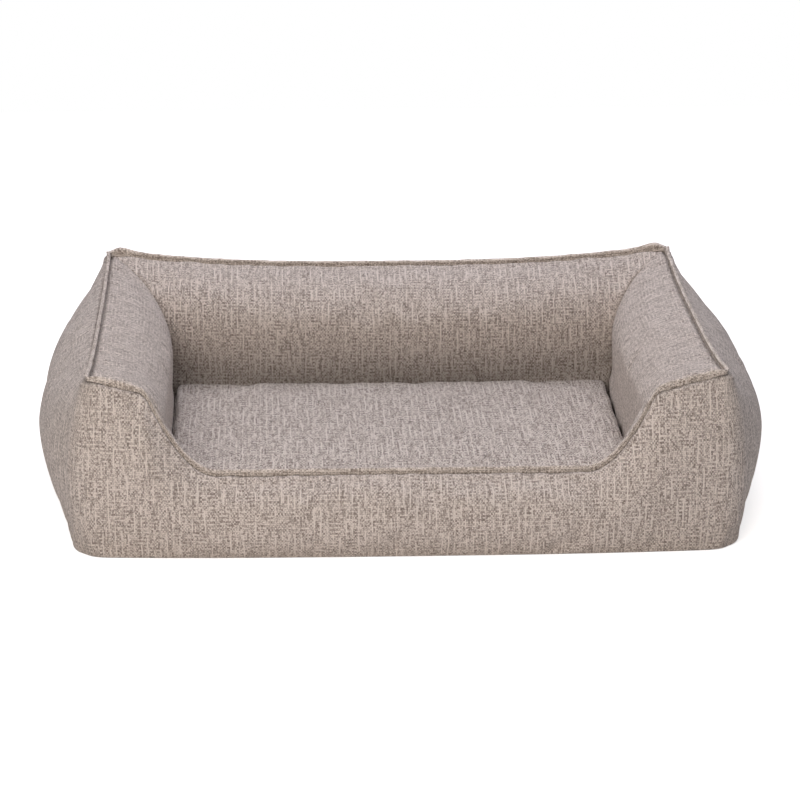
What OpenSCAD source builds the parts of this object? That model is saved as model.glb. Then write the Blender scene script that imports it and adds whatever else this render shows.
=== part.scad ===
// Dog bed with a padded rim: four foam-filled walls around a lift-out mattress.
// Each wall is sewn from an outer and an inner cloth panel that meet in a bound top seam.
// Millimetres, +Z up, the front with the low sill faces -Y, the bed stands on z = 0.

/* [Rim plan and height] */
// Distance between the top seams of the left and right walls
seam_w = 840; // [780:10:1000]
// Distance between the top seams of the front and back walls
seam_d = 640; // [560:10:800]
// Height of the top seam at the four corners
seam_h = 240; // [225:5:280]
// Sag of the back wall's seam in its middle
back_sag = 22; // [0:1:30]
// Sag of a side wall's seam in its middle
side_sag = 16; // [0:1:30]
// Radius of the top seam in plan at the corners
seam_r = 6; // [5:1:10]

/* [Outer faces] */
// Bulge of a side wall outwards from its seam
side_bulge = 80; // [60:1:95]
// Bulge of the back wall outwards from its seam
back_bulge = 80; // [70:1:95]
// Bulge of the front wall outwards from its seam
front_bulge = 50; // [42:1:60]
// Bulge of every wall at the upright corners
corner_bulge = 25; // [22:1:35]
// Step-out of the foot line from the seam at the corners
foot_out = 18; // [12:1:21]
// Extra step-out of the foot line in the middle of a wall
foot_bow = 16; // [8:1:20]
// Height of the widest line as a share of the corners' height
bulge_share = 0.49; // [0.42:0.01:0.55]
// Height of the front wall's widest line as a share of the sill's height
sill_bulge_share = 0.56; // [0.48:0.01:0.62]

/* [Inner faces] */
// Bulge of the side walls inwards from their seam
side_in = 98; // [90:1:110]
// Bulge of the back wall inwards from its seam
back_in = 98; // [90:1:110]
// Bulge of the front wall inwards from its seam
front_in = 78; // [72:1:90]
// Depth of the crease where two inner faces meet at a back corner
crease_in = 85; // [76:1:88]
// Distance of the well's floor edge from the seam
floor_in = 70; // [60:1:71]
// Height of the widest line of the side and back walls
inner_z = 140; // [125:1:155]

/* [Front opening] */
// Height of the sill in the middle of the front wall
sill_h = 107; // [95:1:125]
// Rise of the sill from its middle to its ends
sill_rise = 12; // [4:1:16]
// Half width of the sill
sill_half = 264; // [220:1:270]
// Half width between the shoulders at the top of the opening
shoulder_half = 356; // [340:1:366]
// Fall of the seam from a corner to its shoulder
shoulder_drop = 12; // [6:1:18]

/* [Cloth] */
// Thickness of the upholstery cloth with its backing
cloth_t = 2; // [1.5:0.1:2.5]
// Thickness of the anti-slip cloth under the bed
base_t = 2; // [1.5:0.5:3]
// Thickness of the folded edge binding
binding_t = 4; // [3:0.5:5]
// Height of the binding over the seam
binding_up = 8; // [5:1:10]
// Depth of the binding under the seam
binding_down = 3; // [2:0.5:5]
// Gap between sewn or stuffed neighbours
fit_gap = 0.3; // [0.2:0.1:0.5]

/* [Mattress] */
// Thickness of the support foam
support_t = 36; // [34:1:45]
// Thickness of the memory foam at the mattress's edge
memory_t = 20; // [16:1:30]
// Rise of the crowned top over its edge
crown = 8; // [4:1:12]
// Plan radius of the mattress's corners
mattress_r = 32; // [22:1:45]
// Gap between the mattress and the widest line of a side wall
mattress_side_gap = 1.5; // [1:0.5:6]
// Gap behind the mattress, where its zip's pull has to pass
mattress_back_gap = 6; // [5:0.5:10]
// Gap in front of the mattress
mattress_front_gap = 1.5; // [1:0.5:6]
// Height of the rounded edge between the mattress's band and its top
shoulder_h = 12; // [8:1:15]

/* [Zip fasteners] */
// Half length of the zip in the back wall
frame_zip_half = 300; // [200:5:320]
// Half length of the zip in the mattress's band
mattress_zip_half = 250; // [150:5:255]
// Distance of the rim's zip from the floor, measured up the cloth
frame_zip_rise = 22; // [20:0.5:25]
// Height of the mattress's zip over the mattress's underside
mattress_zip_rise = 21; // [18:0.5:24]
// Width of a zip tape beside its coil
tape_w = 9; // [7:0.5:11]
// Thickness of a zip tape
tape_t = 0.8; // [0.6:0.1:1]
// Length of a tape past its coil
tape_over = 8; // [4:1:10]
// Width of one coil of the zip
coil_w = 2.2; // [1.8:0.1:2.6]
// Thickness of the coil
coil_t = 2.4; // [2:0.1:2.8]
// Length of an end stop
stop_l = 3; // [2:0.5:5]
// Length of a slider
slider_l = 11; // [9:0.5:14]
// Thickness of a slider's plates
plate_t = 1.2; // [1:0.1:1.5]
// Thickness of the slider's web between the two coils
web_t = 0.9; // [0.7:0.1:1.1]
// Gap between a slider and its coils
running_gap = 0.2; // [0.15:0.05:0.3]
// Radius of the pull's pin
pin_r = 0.6; // [0.5:0.05:0.8]
// Gap round the pin
pin_gap = 0.08; // [0.05:0.01:0.1]
// Length of a pull tab from its pin
pull_l = 18; // [14:0.5:20]
// Width of a pull tab
pull_w = 6.5; // [5:0.5:8]
// Thickness of a pull tab
pull_t = 1.2; // [1:0.1:1.6]

/* [Hidden] */

cloth_colour = [0.68, 0.62, 0.58];
binding_colour = [0.58, 0.52, 0.47];
base_colour = [0.20, 0.20, 0.21];
foam_colour = [0.93, 0.91, 0.84];
memory_colour = [0.80, 0.88, 0.90];
tape_colour = [0.45, 0.41, 0.38];
coil_colour = [0.38, 0.35, 0.33];
zinc_colour = [0.62, 0.62, 0.64];

FRONT = 0;
RIGHT = 1;
BACK = 2;

// The four seams lie off centre, so that the whole bed is centred on the origin.
centre_shift = (back_bulge - front_bulge) / 2;
// Steps up a section, below and above its widest line, and the share of t below it
low_steps = 3;
high_steps = 5;
low_share = 0.4;
// Exponents of the superelliptic sections: the higher, the squarer the pillow's shoulder
outer_k = 1.6;
inner_k = 2.2;
crease_k = 1.5;
open_end_k = 3.2;
floor_k = 1.6;
// Exponents of the bulge and the sag along a wall
swell_n = 2.8;
back_swell_n = 2;
crease_n = 3;
// Share of the back wall that is straight, for its zip
back_straight = (frame_zip_half + tape_over + 6) / (seam_w / 2);
// Height of the front wall's widest inner line as a share of its seam's height
sill_share = 0.52;
// Where the sections stop short of the seam's plane
outer_end = binding_t / 2 + fit_gap;
inner_end = outer_end + seam_r * (1 - sqrt(0.5));
// Depth of the foam under the cloth's face, and under the seam
foam_depth = cloth_t + fit_gap;
foam_drop = binding_down + fit_gap;
// The side walls end this far behind the front seam, and the front foam just before it.
open_end = binding_t / 2 + 1;
front_back = open_end - 2 * fit_gap;
// Gap at the ends of the front wall's inner face, and that face's half width
cheek_gap = 4;
cheek_x = seam_w / 2 - side_in - cheek_gap;

// The mattress stands on the base panel.
mattress_z = base_t;
mattress_x = seam_w / 2 - side_in - mattress_side_gap;
mattress_back = seam_d / 2 - back_in - mattress_back_gap - centre_shift;
mattress_front = -(seam_d / 2 - front_in - mattress_front_gap) - centre_shift;
mattress_y = (mattress_back + mattress_front) / 2;
mattress_dy = (mattress_back - mattress_front) / 2;
support_z = mattress_z + cloth_t;
memory_z = support_z + support_t;
mattress_edge_z = memory_z + memory_t + foam_depth;
band_top = mattress_edge_z - shoulder_h;
shoulder_in = 0.7 * shoulder_h;

// Zips are drawn with x along the chain, y out of the cloth's face and z up the cloth.
coil_gap = web_t / 2 + 0.15;
chain_half = coil_gap + coil_w;
tape_y = -foam_depth - tape_t;
coil_y = tape_y + (tape_t - coil_t) / 2;
slider_top = coil_y + coil_t + running_gap + plate_t;
slider_bottom = coil_y - running_gap - plate_t;
slider_w = 2 * chain_half + 3.6;
slot_half = slider_w / 2 + 0.6;
zip_room = 1.2 - slider_bottom;
eye_r = pin_r + 0.7;
eye_w = 3.6;
lug_t = 0.9;
pin_x = slider_l / 2 - 2.2;
pin_y = max(slider_top, 0) + eye_r + 0.3;

function mix(a, b, w) = a + (b - a) * w;
function clip(v, a, b) = min(max(v, a), b);
function ease(v) = let (w = clip(v, 0, 1)) w * w * (3 - 2 * w);
// Superelliptic quarter: sup_sin rises from 0 to 1 and sup_cos falls from 1 to 0
function sup_sin(a, k) = pow(sin(90 * a), 2 / k);
function sup_cos(a, k) = pow(max(cos(90 * a), 0), 2 / k);
function bezier(a, b, c, d, t) =
    let (s = 1 - t) s * s * s * a + 3 * s * s * t * b + 3 * s * t * t * c + t * t * t * d;

// ---- plan of the walls ----
// A wall's station u is -1 to 1 on its straight and goes on to -2 and 2 round its corner arcs.
function straight(wall) = (wall == RIGHT ? seam_d : seam_w) / 2 - seam_r;
function stations(count) = concat(
    [-2, -1.67, -1.33],
    [for (i = [0:count]) 2 * i / count - 1],
    [1.33, 1.67, 2]);
function even(count, reach = 1) = [for (i = [0:count]) reach * (2 * i / count - 1)];

// From a wall's own directions (along it, out of it, up) to the bed's
function to_bed(wall, along, out, z) =
    wall == FRONT ? [-along, -seam_d / 2 - out - centre_shift, z]
    : wall == BACK ? [along, seam_d / 2 + out - centre_shift, z]
    : [seam_w / 2 + out, -along - centre_shift, z];
function round_corner(wall, u, out, z) =
    let (turn = 45 * max(abs(u) - 1, 0),
         along = straight(wall) * min(abs(u), 1) + (seam_r + out) * sin(turn))
    to_bed(wall, sign(u) * along, (seam_r + out) * cos(turn) - seam_r, z);
// A flat face behind the seam that ends on the corner's mitre line
function flat_back(wall, u, depth, z) =
    let (along = straight(wall) * min(abs(u), 1) + (seam_r - depth) * max(abs(u) - 1, 0))
    to_bed(wall, sign(u) * along, -depth, z);

// ---- heights and sections of the walls ----
function front_seam_z(x) =
    let (a = abs(x),
         far = straight(FRONT),
         sill = sill_h + sill_rise * pow(min(a / sill_half, 1), 3),
         fall = clip((far - a) / (far - shoulder_half), 0, 1.3),
         top = seam_h - shoulder_drop * fall * fall)
    mix(sill, top, ease((a - sill_half) / (shoulder_half - sill_half)));
function seam_z(wall, u) =
    let (a = min(abs(u), 1))
    wall == FRONT ? front_seam_z(a * straight(FRONT))
    : seam_h - (wall == BACK ? back_sag : side_sag) * (1 - pow(a, swell_n));
function swell(wall, u) =
    let (a = min(abs(u), 1))
    wall == BACK ? 1 - pow(max(a - back_straight, 0) / (1 - back_straight), back_swell_n)
    : 1 - pow(a, swell_n);

// Outer section: [distance out of the seam's plane, height], from the foot (t = 0) to the seam (t = 1)
function outer_section(wall, u, t, end) =
    let (h = seam_z(wall, u),
         most = wall == FRONT ? front_bulge : wall == BACK ? back_bulge : side_bulge,
         b = mix(corner_bulge, most, swell(wall, u)),
         foot = foot_out + foot_bow * swell(wall, u),
         share = mix(bulge_share, sill_bulge_share, swell(wall, u)),
         wide_z = wall == FRONT ? share * h : bulge_share * seam_h,
         lean = foot + (b - foot) * 0.47,
         low = t / low_share,
         stop = acos(pow(end / b, outer_k / 2)) / 90,
         high = stop * (t - low_share) / (1 - low_share))
    t <= low_share
    ? [bezier(foot, lean, b, b, low),
       bezier(base_t, mix(base_t, wide_z, 0.28), mix(base_t, wide_z, 0.67), wide_z, low)]
    : [b * sup_cos(high, outer_k), wide_z + (h - wide_z) * sup_sin(high, outer_k)];

// Inner section: [distance in from the seam's plane, height], from the floor to the seam
function inner_form(wall, v) =
    let (crease = pow(wall == RIGHT ? max(-v, 0) : abs(v), crease_n),
         end = pow(max(v, 0), 2))
    wall == FRONT ? [front_in, inner_k]
    : wall == BACK ? [mix(back_in, crease_in, crease), mix(inner_k, crease_k, crease)]
    : [mix(side_in, crease_in, crease), mix(mix(inner_k, crease_k, crease), open_end_k, end)];
function inner_top(wall, v) =
    wall == FRONT ? front_seam_z(v * cheek_x) : seam_z(wall, v);
function inner_section(wall, v, t, end) =
    let (h = inner_top(wall, v),
         form = inner_form(wall, v),
         b = form[0],
         k = form[1],
         wide_z = wall == FRONT ? sill_share * h : inner_z,
         low = t / low_share,
         stop = acos(pow(end / b, k / 2)) / 90,
         high = stop * (t - low_share) / (1 - low_share))
    t <= low_share
    ? [mix(floor_in, b, sup_sin(low, floor_k)), mix(wide_z, base_t, sup_cos(low, floor_k))]
    : [b * sup_cos(high, k), wide_z + (h - wide_z) * sup_sin(high, k)];
// Reach of the side walls into the bed at height z, at their front end
function side_reach(z) =
    let (c = pow(clip((inner_z - z) / (inner_z - base_t), 0, 1), floor_k / 2))
    mix(floor_in, side_in, pow(1 - c * c, 1 / floor_k));
function inner_place(wall, v, in, z) =
    wall == BACK ? to_bed(wall, v * (seam_w / 2 - in), -in, z)
    : wall == FRONT ? to_bed(wall, v * (seam_w / 2 - side_reach(z) - cheek_gap), -in, z)
    : to_bed(wall, mix(in - seam_d / 2, seam_d / 2 - open_end, (1 + v) / 2), -in, z);

// A section's point moved under its face by a depth, level at the foot
function under(section, t, depth) =
    let (step = 0.004,
         point = section(t),
         run = section(min(t + step, 1)) - section(max(t - step, 0)),
         n = [run[1], -run[0]] / norm(run))
    depth == 0 ? point : t == 0 ? [point[0] - depth / n[0], point[1]] : point - n * depth;

// Steps up a section, even below and even above its widest line
levels = concat(
    [for (j = [0:low_steps - 1]) low_share * j / low_steps],
    [for (j = [0:high_steps]) mix(low_share, 1, j / high_steps)]);
function outer_column(wall, u, depth, end, drop = 0) =
    [for (t = levels)
        let (q = under(function (s) outer_section(wall, u, s, end), t, depth))
        round_corner(wall, u, max(q[0], end), min(q[1], seam_z(wall, u) - drop))];
function inner_column(wall, v, depth, end, drop = 0) =
    [for (t = levels)
        let (q = under(function (s) inner_section(wall, v, s, end), t, depth))
        inner_place(wall, v, q[0], min(q[1], inner_top(wall, v) - drop))];

// Closed solid between two grids of points, with grid a on the side that faces out of the wall
module between(a, b) {
    columns = len(a);
    rows = len(a[0]);
    count = columns * rows;
    function quad(p, q, r, s) = [[p, q, r], [p, r, s]];
    faces = [
        for (i = [0:columns - 2])
            for (j = [0:rows - 2])
                let (p = i * rows + j, q = p + rows)
                each concat(quad(p, q, q + 1, p + 1),
                            quad(count + p, count + p + 1, count + q + 1, count + q)),
        for (i = [0:columns - 2])
            let (p = i * rows, q = p + rows, e = rows - 1)
            each concat(quad(q, p, count + p, count + q),
                        quad(p + e, q + e, count + q + e, count + p + e)),
        for (j = [0:rows - 2])
            let (p = j, q = (columns - 1) * rows + j)
            each concat(quad(p, p + 1, count + p + 1, count + p),
                        quad(q + 1, q, count + q, count + q + 1))
    ];
    polyhedron(concat([for (c = a) each c], [for (c = b) each c]), faces, convexity = 8);
}

// Closed solid through a stack of rings, capped at both ends by a fan round its middle
module stacked(rings) {
    n = len(rings[0]);
    ends = len(rings) * n;
    top = ends - n;
    function middle(ring) =
        [for (axis = [0:2])
            let (values = [for (q = ring) q[axis]])
            (max(values) + min(values)) / 2];
    polyhedron(
        concat([for (ring = rings) each ring], [middle(rings[0]), middle(rings[len(rings) - 1])]),
        concat(
            [for (i = [0:n - 1]) [ends, i, (i + 1) % n]],
            [for (i = [0:n - 1]) [ends + 1, top + (i + 1) % n, top + i]],
            [for (j = [0:len(rings) - 2])
                for (i = [0:n - 1])
                    let (k = (i + 1) % n, p = j * n, q = p + n)
                    each [[p + i, q + i, q + k], [p + i, q + k, p + k]]]),
        convexity = 4);
}

// ---- the rim ----

function foot_line(wall) =
    [for (u = stations(12))
        let (q = round_corner(wall, u, outer_section(wall, u, 0, outer_end)[0], 0))
        [q[0], q[1]]];
module base_panel() {
    right = foot_line(RIGHT);
    left = [for (i = [len(right) - 1:-1:0]) [-right[i][0], right[i][1]]];
    color(base_colour)
    linear_extrude(base_t)
    polygon(concat(foot_line(BACK), right, foot_line(FRONT), left));
}

module outer_panel(wall, columns) {
    color(cloth_colour)
    between([for (u = columns) outer_column(wall, u, 0, outer_end)],
            [for (u = columns) outer_column(wall, u, cloth_t, outer_end)]);
}

module inner_panel(wall, columns) {
    color(cloth_colour)
    between([for (v = columns) inner_column(wall, v, cloth_t, inner_end)],
            [for (v = columns) inner_column(wall, v, 0, inner_end)]);
}

module binding(wall, columns) {
    half = binding_t / 2;
    // The folded edge narrows at its top.
    profile = [[half, -binding_down], [half, binding_up - half], [half / 2, binding_up]];
    function column(u, side) =
        [for (q = profile) round_corner(wall, u, side * q[0], seam_z(wall, u) + q[1])];
    color(binding_colour)
    between([for (u = columns) column(u, 1)], [for (u = columns) column(u, -1)]);
}

function sweep(count, from, to) = [for (i = [1:count]) mix(from, to, i / (count + 1))];
function reversed(list) = [for (i = [len(list) - 1:-1:0]) list[i]];
corner_columns = [1, 1.33, 1.67, 2];
side_columns = stations(12);
back_right = concat(sweep(3, back_straight, 1), corner_columns);
back_columns = concat(-reversed(back_right), even(6, back_straight), back_right);
// An inner face has a column for each one outside, squeezed together towards its mitred ends.
corner_v = 0.93;
function inner_v(u, last) =
    sign(u) * (corner_v * min(abs(u), 1) + (1 - corner_v) * max(abs(u) - 1, 0) / (last - 1));
back_inner_columns = [for (u = back_columns) inner_v(u, 2)];
right_inner_columns = [for (i = [0:len(side_columns) - 2])
    let (u = side_columns[i])
    inner_v(u, u > 0 ? side_columns[len(side_columns) - 2] : 2)];
// Columns across the front wall's inner face, closer together where its seam sweeps up
cheek_right = concat(sweep(4, sill_half / cheek_x, 1), [1]);
cheek_columns = concat(-reversed(cheek_right), even(6, sill_half / cheek_x), cheek_right);
// The outer face has the same columns there, and goes on past them to its corners.
cheek_share = cheek_x / straight(FRONT);
floor_share = (seam_w / 2 - floor_in) / straight(FRONT);
turn_share = (cheek_share + floor_share) / 2;
front_right = concat([floor_share], sweep(2, floor_share, 1), corner_columns);
front_columns = concat(-reversed(front_right), [-turn_share], cheek_share * cheek_columns,
                       [turn_share], front_right);

module front_outer_panel() { outer_panel(FRONT, front_columns); }
module right_outer_panel() { outer_panel(RIGHT, side_columns); }
module left_outer_panel() { mirror([1, 0, 0]) right_outer_panel(); }
module back_outer_panel() {
    difference() {
        outer_panel(BACK, back_columns);
        at_frame_zip() zip_slot(frame_zip_half);
    }
}

module front_inner_panel() { inner_panel(FRONT, cheek_columns); }
module right_inner_panel() { inner_panel(RIGHT, right_inner_columns); }
module left_inner_panel() { mirror([1, 0, 0]) right_inner_panel(); }
module back_inner_panel() { inner_panel(BACK, back_inner_columns); }

module front_binding() { binding(FRONT, front_columns); }
module right_binding() { binding(RIGHT, side_columns); }
module left_binding() { mirror([1, 0, 0]) right_binding(); }
module back_binding() { binding(BACK, back_columns); }

function foam_outside(wall, columns) =
    [for (u = columns) outer_column(wall, u, foam_depth, outer_end, foam_drop)];
function foam_inside(wall, columns) =
    [for (v = columns) inner_column(wall, v, foam_depth, inner_end, foam_drop)];
// An upright column of points on a flat face behind the seam, up to the foam's top
function upright(wall, u, depth) =
    [for (t = levels) flat_back(wall, u, depth, mix(base_t, seam_z(wall, u) - foam_drop, t))];

module right_foam_core() {
    // The open end is flat, from the wall's inner face to the corner's mitre line.
    color(foam_colour)
    between(foam_outside(RIGHT, side_columns),
            concat(foam_inside(RIGHT, right_inner_columns), [upright(RIGHT, 2, open_end)]));
}
module left_foam_core() { mirror([1, 0, 0]) right_foam_core(); }

module back_foam_core() {
    color(foam_colour)
    difference() {
        between(foam_outside(BACK, back_columns), foam_inside(BACK, back_inner_columns));
        at_frame_zip() zip_recess(frame_zip_half);
    }
}

// The front foam lies against the flat ends of the side walls, and bulges inwards between them.
module front_foam_core() {
    // The inner face turns forwards along the side walls to that flat face.
    function turned(v) =
        let (top = inner_top(FRONT, v) - foam_drop - fit_gap)
        [for (t = levels) inner_place(FRONT, v, front_back, mix(base_t, top, t))];
    color(foam_colour)
    between(foam_outside(FRONT, front_columns),
            concat([for (u = -reversed(front_right)) upright(FRONT, u, front_back)],
                   [turned(-1)],
                   foam_inside(FRONT, cheek_columns),
                   [turned(1)],
                   [for (u = front_right) upright(FRONT, u, front_back)]));
}

// ---- zip fasteners, each in its own directions ----

module zip_tape(half, side) {
    color(tape_colour)
    translate([-half - tape_over, tape_y, side > 0 ? chain_half : -chain_half - tape_w])
    cube([2 * (half + tape_over), tape_t, tape_w]);
}

module zip_coil(half, side) {
    color(coil_colour)
    translate([stop_l - half, coil_y, side > 0 ? coil_gap : -chain_half])
    cube([2 * (half - stop_l), coil_t, coil_w]);
}

module zip_stops(half) {
    color(zinc_colour)
    for (side = [-1, 1])
        translate([side * (half - stop_l / 2), coil_y + coil_t / 2, 0])
        cube([stop_l, coil_t, 2 * chain_half], center = true);
}

// Openings that the zip needs in the cloth and in the foam behind it
module zip_slot(half) {
    translate([-half, -2 * foam_depth, -slot_half])
    cube([2 * half, 3 * foam_depth, 2 * slot_half]);
}
module zip_recess(half) {
    over = half + tape_over + 2;
    up = chain_half + tape_w + 1.5;
    translate([-over, -zip_room, -up])
    cube([2 * over, 2 * zip_room, 2 * up]);
}

// The slider waits at the closed end of its chain.
function slider_x(half) = half - stop_l - fit_gap - slider_l / 2;

module rounded_plate(l, w, t) {
    r = w / 4;
    rotate([90, 0, 0])
    linear_extrude(t, center = true)
    union() {
        square([l - 2 * r, w], center = true);
        square([l, w - 2 * r], center = true);
        for (i = [-1, 1])
            for (j = [-1, 1])
                translate([i * (l / 2 - r), j * (w / 2 - r)])
                circle(r, $fn = 24);
    }
}

module zip_slider(half) {
    lug_z = eye_w / 2 + running_gap + lug_t / 2;
    lug_foot = slider_top - plate_t / 2;
    color(zinc_colour)
    translate([slider_x(half), 0, 0])
    union() {
        translate([0, slider_top - plate_t / 2, 0])
        rounded_plate(slider_l, slider_w, plate_t);
        translate([0, slider_bottom + plate_t / 2, 0])
        rounded_plate(slider_l, slider_w, plate_t);
        translate([0, (slider_top + slider_bottom) / 2, 0])
        cube([slider_l - 3, slider_top - slider_bottom - plate_t, web_t], center = true);
        for (side = [-1, 1])
            translate([pin_x, 0, side * lug_z]) {
                translate([0, pin_y, 0])
                cylinder(h = lug_t, r = eye_r, center = true, $fn = 32);
                translate([-eye_r, lug_foot, -lug_t / 2])
                cube([2 * eye_r, pin_y - lug_foot, lug_t]);
            }
        translate([pin_x, pin_y, 0])
        cylinder(h = 2 * lug_z, r = pin_r, center = true, $fn = 32);
    }
}

module zip_pull(half) {
    neck_w = eye_w - 0.4;
    neck_l = eye_r + 1.2;
    color(zinc_colour)
    translate([slider_x(half) + pin_x, pin_y, 0])
    difference() {
        union() {
            cylinder(h = eye_w, r = eye_r, center = true, $fn = 32);
            translate([-neck_l - 1, -pull_t / 2, -neck_w / 2])
            cube([neck_l + 1, pull_t, neck_w]);
            translate([-(neck_l + pull_l) / 2, 0, 0])
            rounded_plate(pull_l - neck_l, pull_w, pull_t);
        }
        cylinder(h = 2 * eye_w, r = pin_r + pin_gap, center = true, $fn = 32);
        // Hole near the tab's free end
        translate([2.6 - pull_l, 0, 0])
        rotate([90, 0, 0])
        cylinder(h = 2 * pull_t, r = 1.3, center = true, $fn = 24);
    }
}

// The rim's zip lies in the flat strip of cloth just above the back wall's foot.
zip_foot = outer_section(BACK, 0, 0, outer_end);
zip_strip = outer_section(BACK, 0, levels[1], outer_end) - zip_foot;
zip_up = zip_strip / norm(zip_strip);
module at_frame_zip() {
    at = zip_foot + zip_up * frame_zip_rise;
    translate(to_bed(BACK, 0, at[0], at[1]))
    rotate([-atan2(zip_up[0], zip_up[1]), 0, 0])
    children();
}
module at_mattress_zip() {
    translate([0, mattress_back, mattress_z + mattress_zip_rise])
    children();
}

module frame_zip_upper_tape() { at_frame_zip() zip_tape(frame_zip_half, 1); }
module frame_zip_lower_tape() { at_frame_zip() zip_tape(frame_zip_half, -1); }
module frame_zip_upper_coil() { at_frame_zip() zip_coil(frame_zip_half, 1); }
module frame_zip_lower_coil() { at_frame_zip() zip_coil(frame_zip_half, -1); }
module frame_zip_stops() { at_frame_zip() zip_stops(frame_zip_half); }
module frame_zip_slider() { at_frame_zip() zip_slider(frame_zip_half); }
module frame_zip_pull() { at_frame_zip() zip_pull(frame_zip_half); }
module mattress_zip_upper_tape() { at_mattress_zip() zip_tape(mattress_zip_half, 1); }
module mattress_zip_lower_tape() { at_mattress_zip() zip_tape(mattress_zip_half, -1); }
module mattress_zip_upper_coil() { at_mattress_zip() zip_coil(mattress_zip_half, 1); }
module mattress_zip_lower_coil() { at_mattress_zip() zip_coil(mattress_zip_half, -1); }
module mattress_zip_stops() { at_mattress_zip() zip_stops(mattress_zip_half); }
module mattress_zip_slider() { at_mattress_zip() zip_slider(mattress_zip_half); }
module mattress_zip_pull() { at_mattress_zip() zip_pull(mattress_zip_half); }

// ---- the mattress ----

module mattress_outline(inset) {
    r = mattress_r - inset;
    x = mattress_x - inset;
    y = mattress_dy - inset;
    translate([0, mattress_y])
    union() {
        square([2 * (x - r), 2 * y], center = true);
        square([2 * x, 2 * (y - r)], center = true);
        for (i = [-1, 1])
            for (j = [-1, 1])
                translate([i * (x - r), j * (y - r)])
                circle(r, $fn = 48);
    }
}

// The same outline as a ring of points at height z, with more points on its corners
function mattress_ring(inset, z) =
    let (r = max(mattress_r - inset, 6),
         x = mattress_x - inset - r,
         y = mattress_dy - inset - r,
         corners = [[x, y, 0], [-x, y, 90], [-x, -y, 180], [x, -y, 270]])
    [for (i = [0:3])
        let (c = corners[i], d = corners[(i + 1) % 4], e = r * [cos(d[2]), sin(d[2])])
        each concat(
            [for (a = [0:22.5:90])
                [c[0] + r * cos(c[2] + a), mattress_y + c[1] + r * sin(c[2] + a), z]],
            [for (k = [1:2])
                [mix(c[0], d[0], k / 3) + e[0], mattress_y + mix(c[1], d[1], k / 3) + e[1], z]])];
// Rings over the rounded edge and the crowned top, under the face by a depth
function top_rings(depth) = concat(
    [for (a = [0:30:90])
        mattress_ring(depth + shoulder_in * (1 - cos(a)),
                      mix(band_top, mattress_edge_z - depth, sin(a)))],
    [for (w = [0.15, 0.45, 1])
        mattress_ring(mix(depth + shoulder_in, mattress_dy * 0.6, w),
                      mattress_edge_z - depth + crown * sin(90 * w))]);

module mattress_bottom_panel() {
    color(cloth_colour)
    translate([0, 0, mattress_z])
    linear_extrude(cloth_t)
    mattress_outline(0);
}

module mattress_side_band() {
    color(cloth_colour)
    difference() {
        translate([0, 0, support_z])
        linear_extrude(band_top - support_z)
        difference() {
            mattress_outline(0);
            mattress_outline(cloth_t);
        }
        at_mattress_zip() zip_slot(mattress_zip_half);
    }
}

module mattress_top_panel() {
    color(cloth_colour)
    stacked(concat(reversed(top_rings(cloth_t)), top_rings(0)));
}

module mattress_support_foam() {
    color(foam_colour)
    difference() {
        translate([0, 0, support_z])
        linear_extrude(support_t)
        mattress_outline(foam_depth);
        at_mattress_zip() zip_recess(mattress_zip_half);
    }
}

module mattress_memory_foam() {
    color(memory_colour)
    stacked(concat([mattress_ring(foam_depth, memory_z)], top_rings(foam_depth)));
}

base_panel();
front_outer_panel();
right_outer_panel();
back_outer_panel();
left_outer_panel();
front_inner_panel();
right_inner_panel();
back_inner_panel();
left_inner_panel();
front_binding();
right_binding();
back_binding();
left_binding();
front_foam_core();
right_foam_core();
back_foam_core();
left_foam_core();
frame_zip_upper_tape();
frame_zip_lower_tape();
frame_zip_upper_coil();
frame_zip_lower_coil();
frame_zip_stops();
frame_zip_slider();
frame_zip_pull();
mattress_bottom_panel();
mattress_side_band();
mattress_top_panel();
mattress_support_foam();
mattress_memory_foam();
mattress_zip_upper_tape();
mattress_zip_lower_tape();
mattress_zip_upper_coil();
mattress_zip_lower_coil();
mattress_zip_stops();
mattress_zip_slider();
mattress_zip_pull();
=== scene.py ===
"""Dog bed with a padded rim round a lift-out mattress.

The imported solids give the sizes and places. Each operator dresses one group of pieces over them:
the rim's filling and its sewn panels, the folded edges, the base, the mattress and the zips. One
more sets the stage.
"""

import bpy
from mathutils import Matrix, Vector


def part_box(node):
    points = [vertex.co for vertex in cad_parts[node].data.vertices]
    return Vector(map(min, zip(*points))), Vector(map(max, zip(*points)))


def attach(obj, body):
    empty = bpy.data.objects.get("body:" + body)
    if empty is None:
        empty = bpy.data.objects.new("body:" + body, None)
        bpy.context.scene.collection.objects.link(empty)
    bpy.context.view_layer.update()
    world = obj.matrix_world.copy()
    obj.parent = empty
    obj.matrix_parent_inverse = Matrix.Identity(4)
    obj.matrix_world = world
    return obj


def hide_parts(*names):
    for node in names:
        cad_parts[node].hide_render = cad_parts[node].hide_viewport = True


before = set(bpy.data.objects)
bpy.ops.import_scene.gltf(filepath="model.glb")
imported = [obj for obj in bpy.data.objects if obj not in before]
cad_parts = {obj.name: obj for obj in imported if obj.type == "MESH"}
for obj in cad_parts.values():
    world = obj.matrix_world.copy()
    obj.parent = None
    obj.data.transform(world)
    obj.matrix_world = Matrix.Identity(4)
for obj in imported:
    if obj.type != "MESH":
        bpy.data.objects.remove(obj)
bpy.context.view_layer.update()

import math

import bpy
import numpy as np
from mathutils import Vector

bl_info = {
    "name": "Padded dog bed",
    "version": (1, 0, 0),
    "blender": (4, 5, 0),
    "location": "View3D > Sidebar > Dog bed",
    "description": "Dresses a packed dog bed in woven cloth, foam, zips and stitching",
    "category": "Object",
}

MM = 0.001


def lowest(node):
    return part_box(node)[0]


def highest(node):
    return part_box(node)[1]


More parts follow.
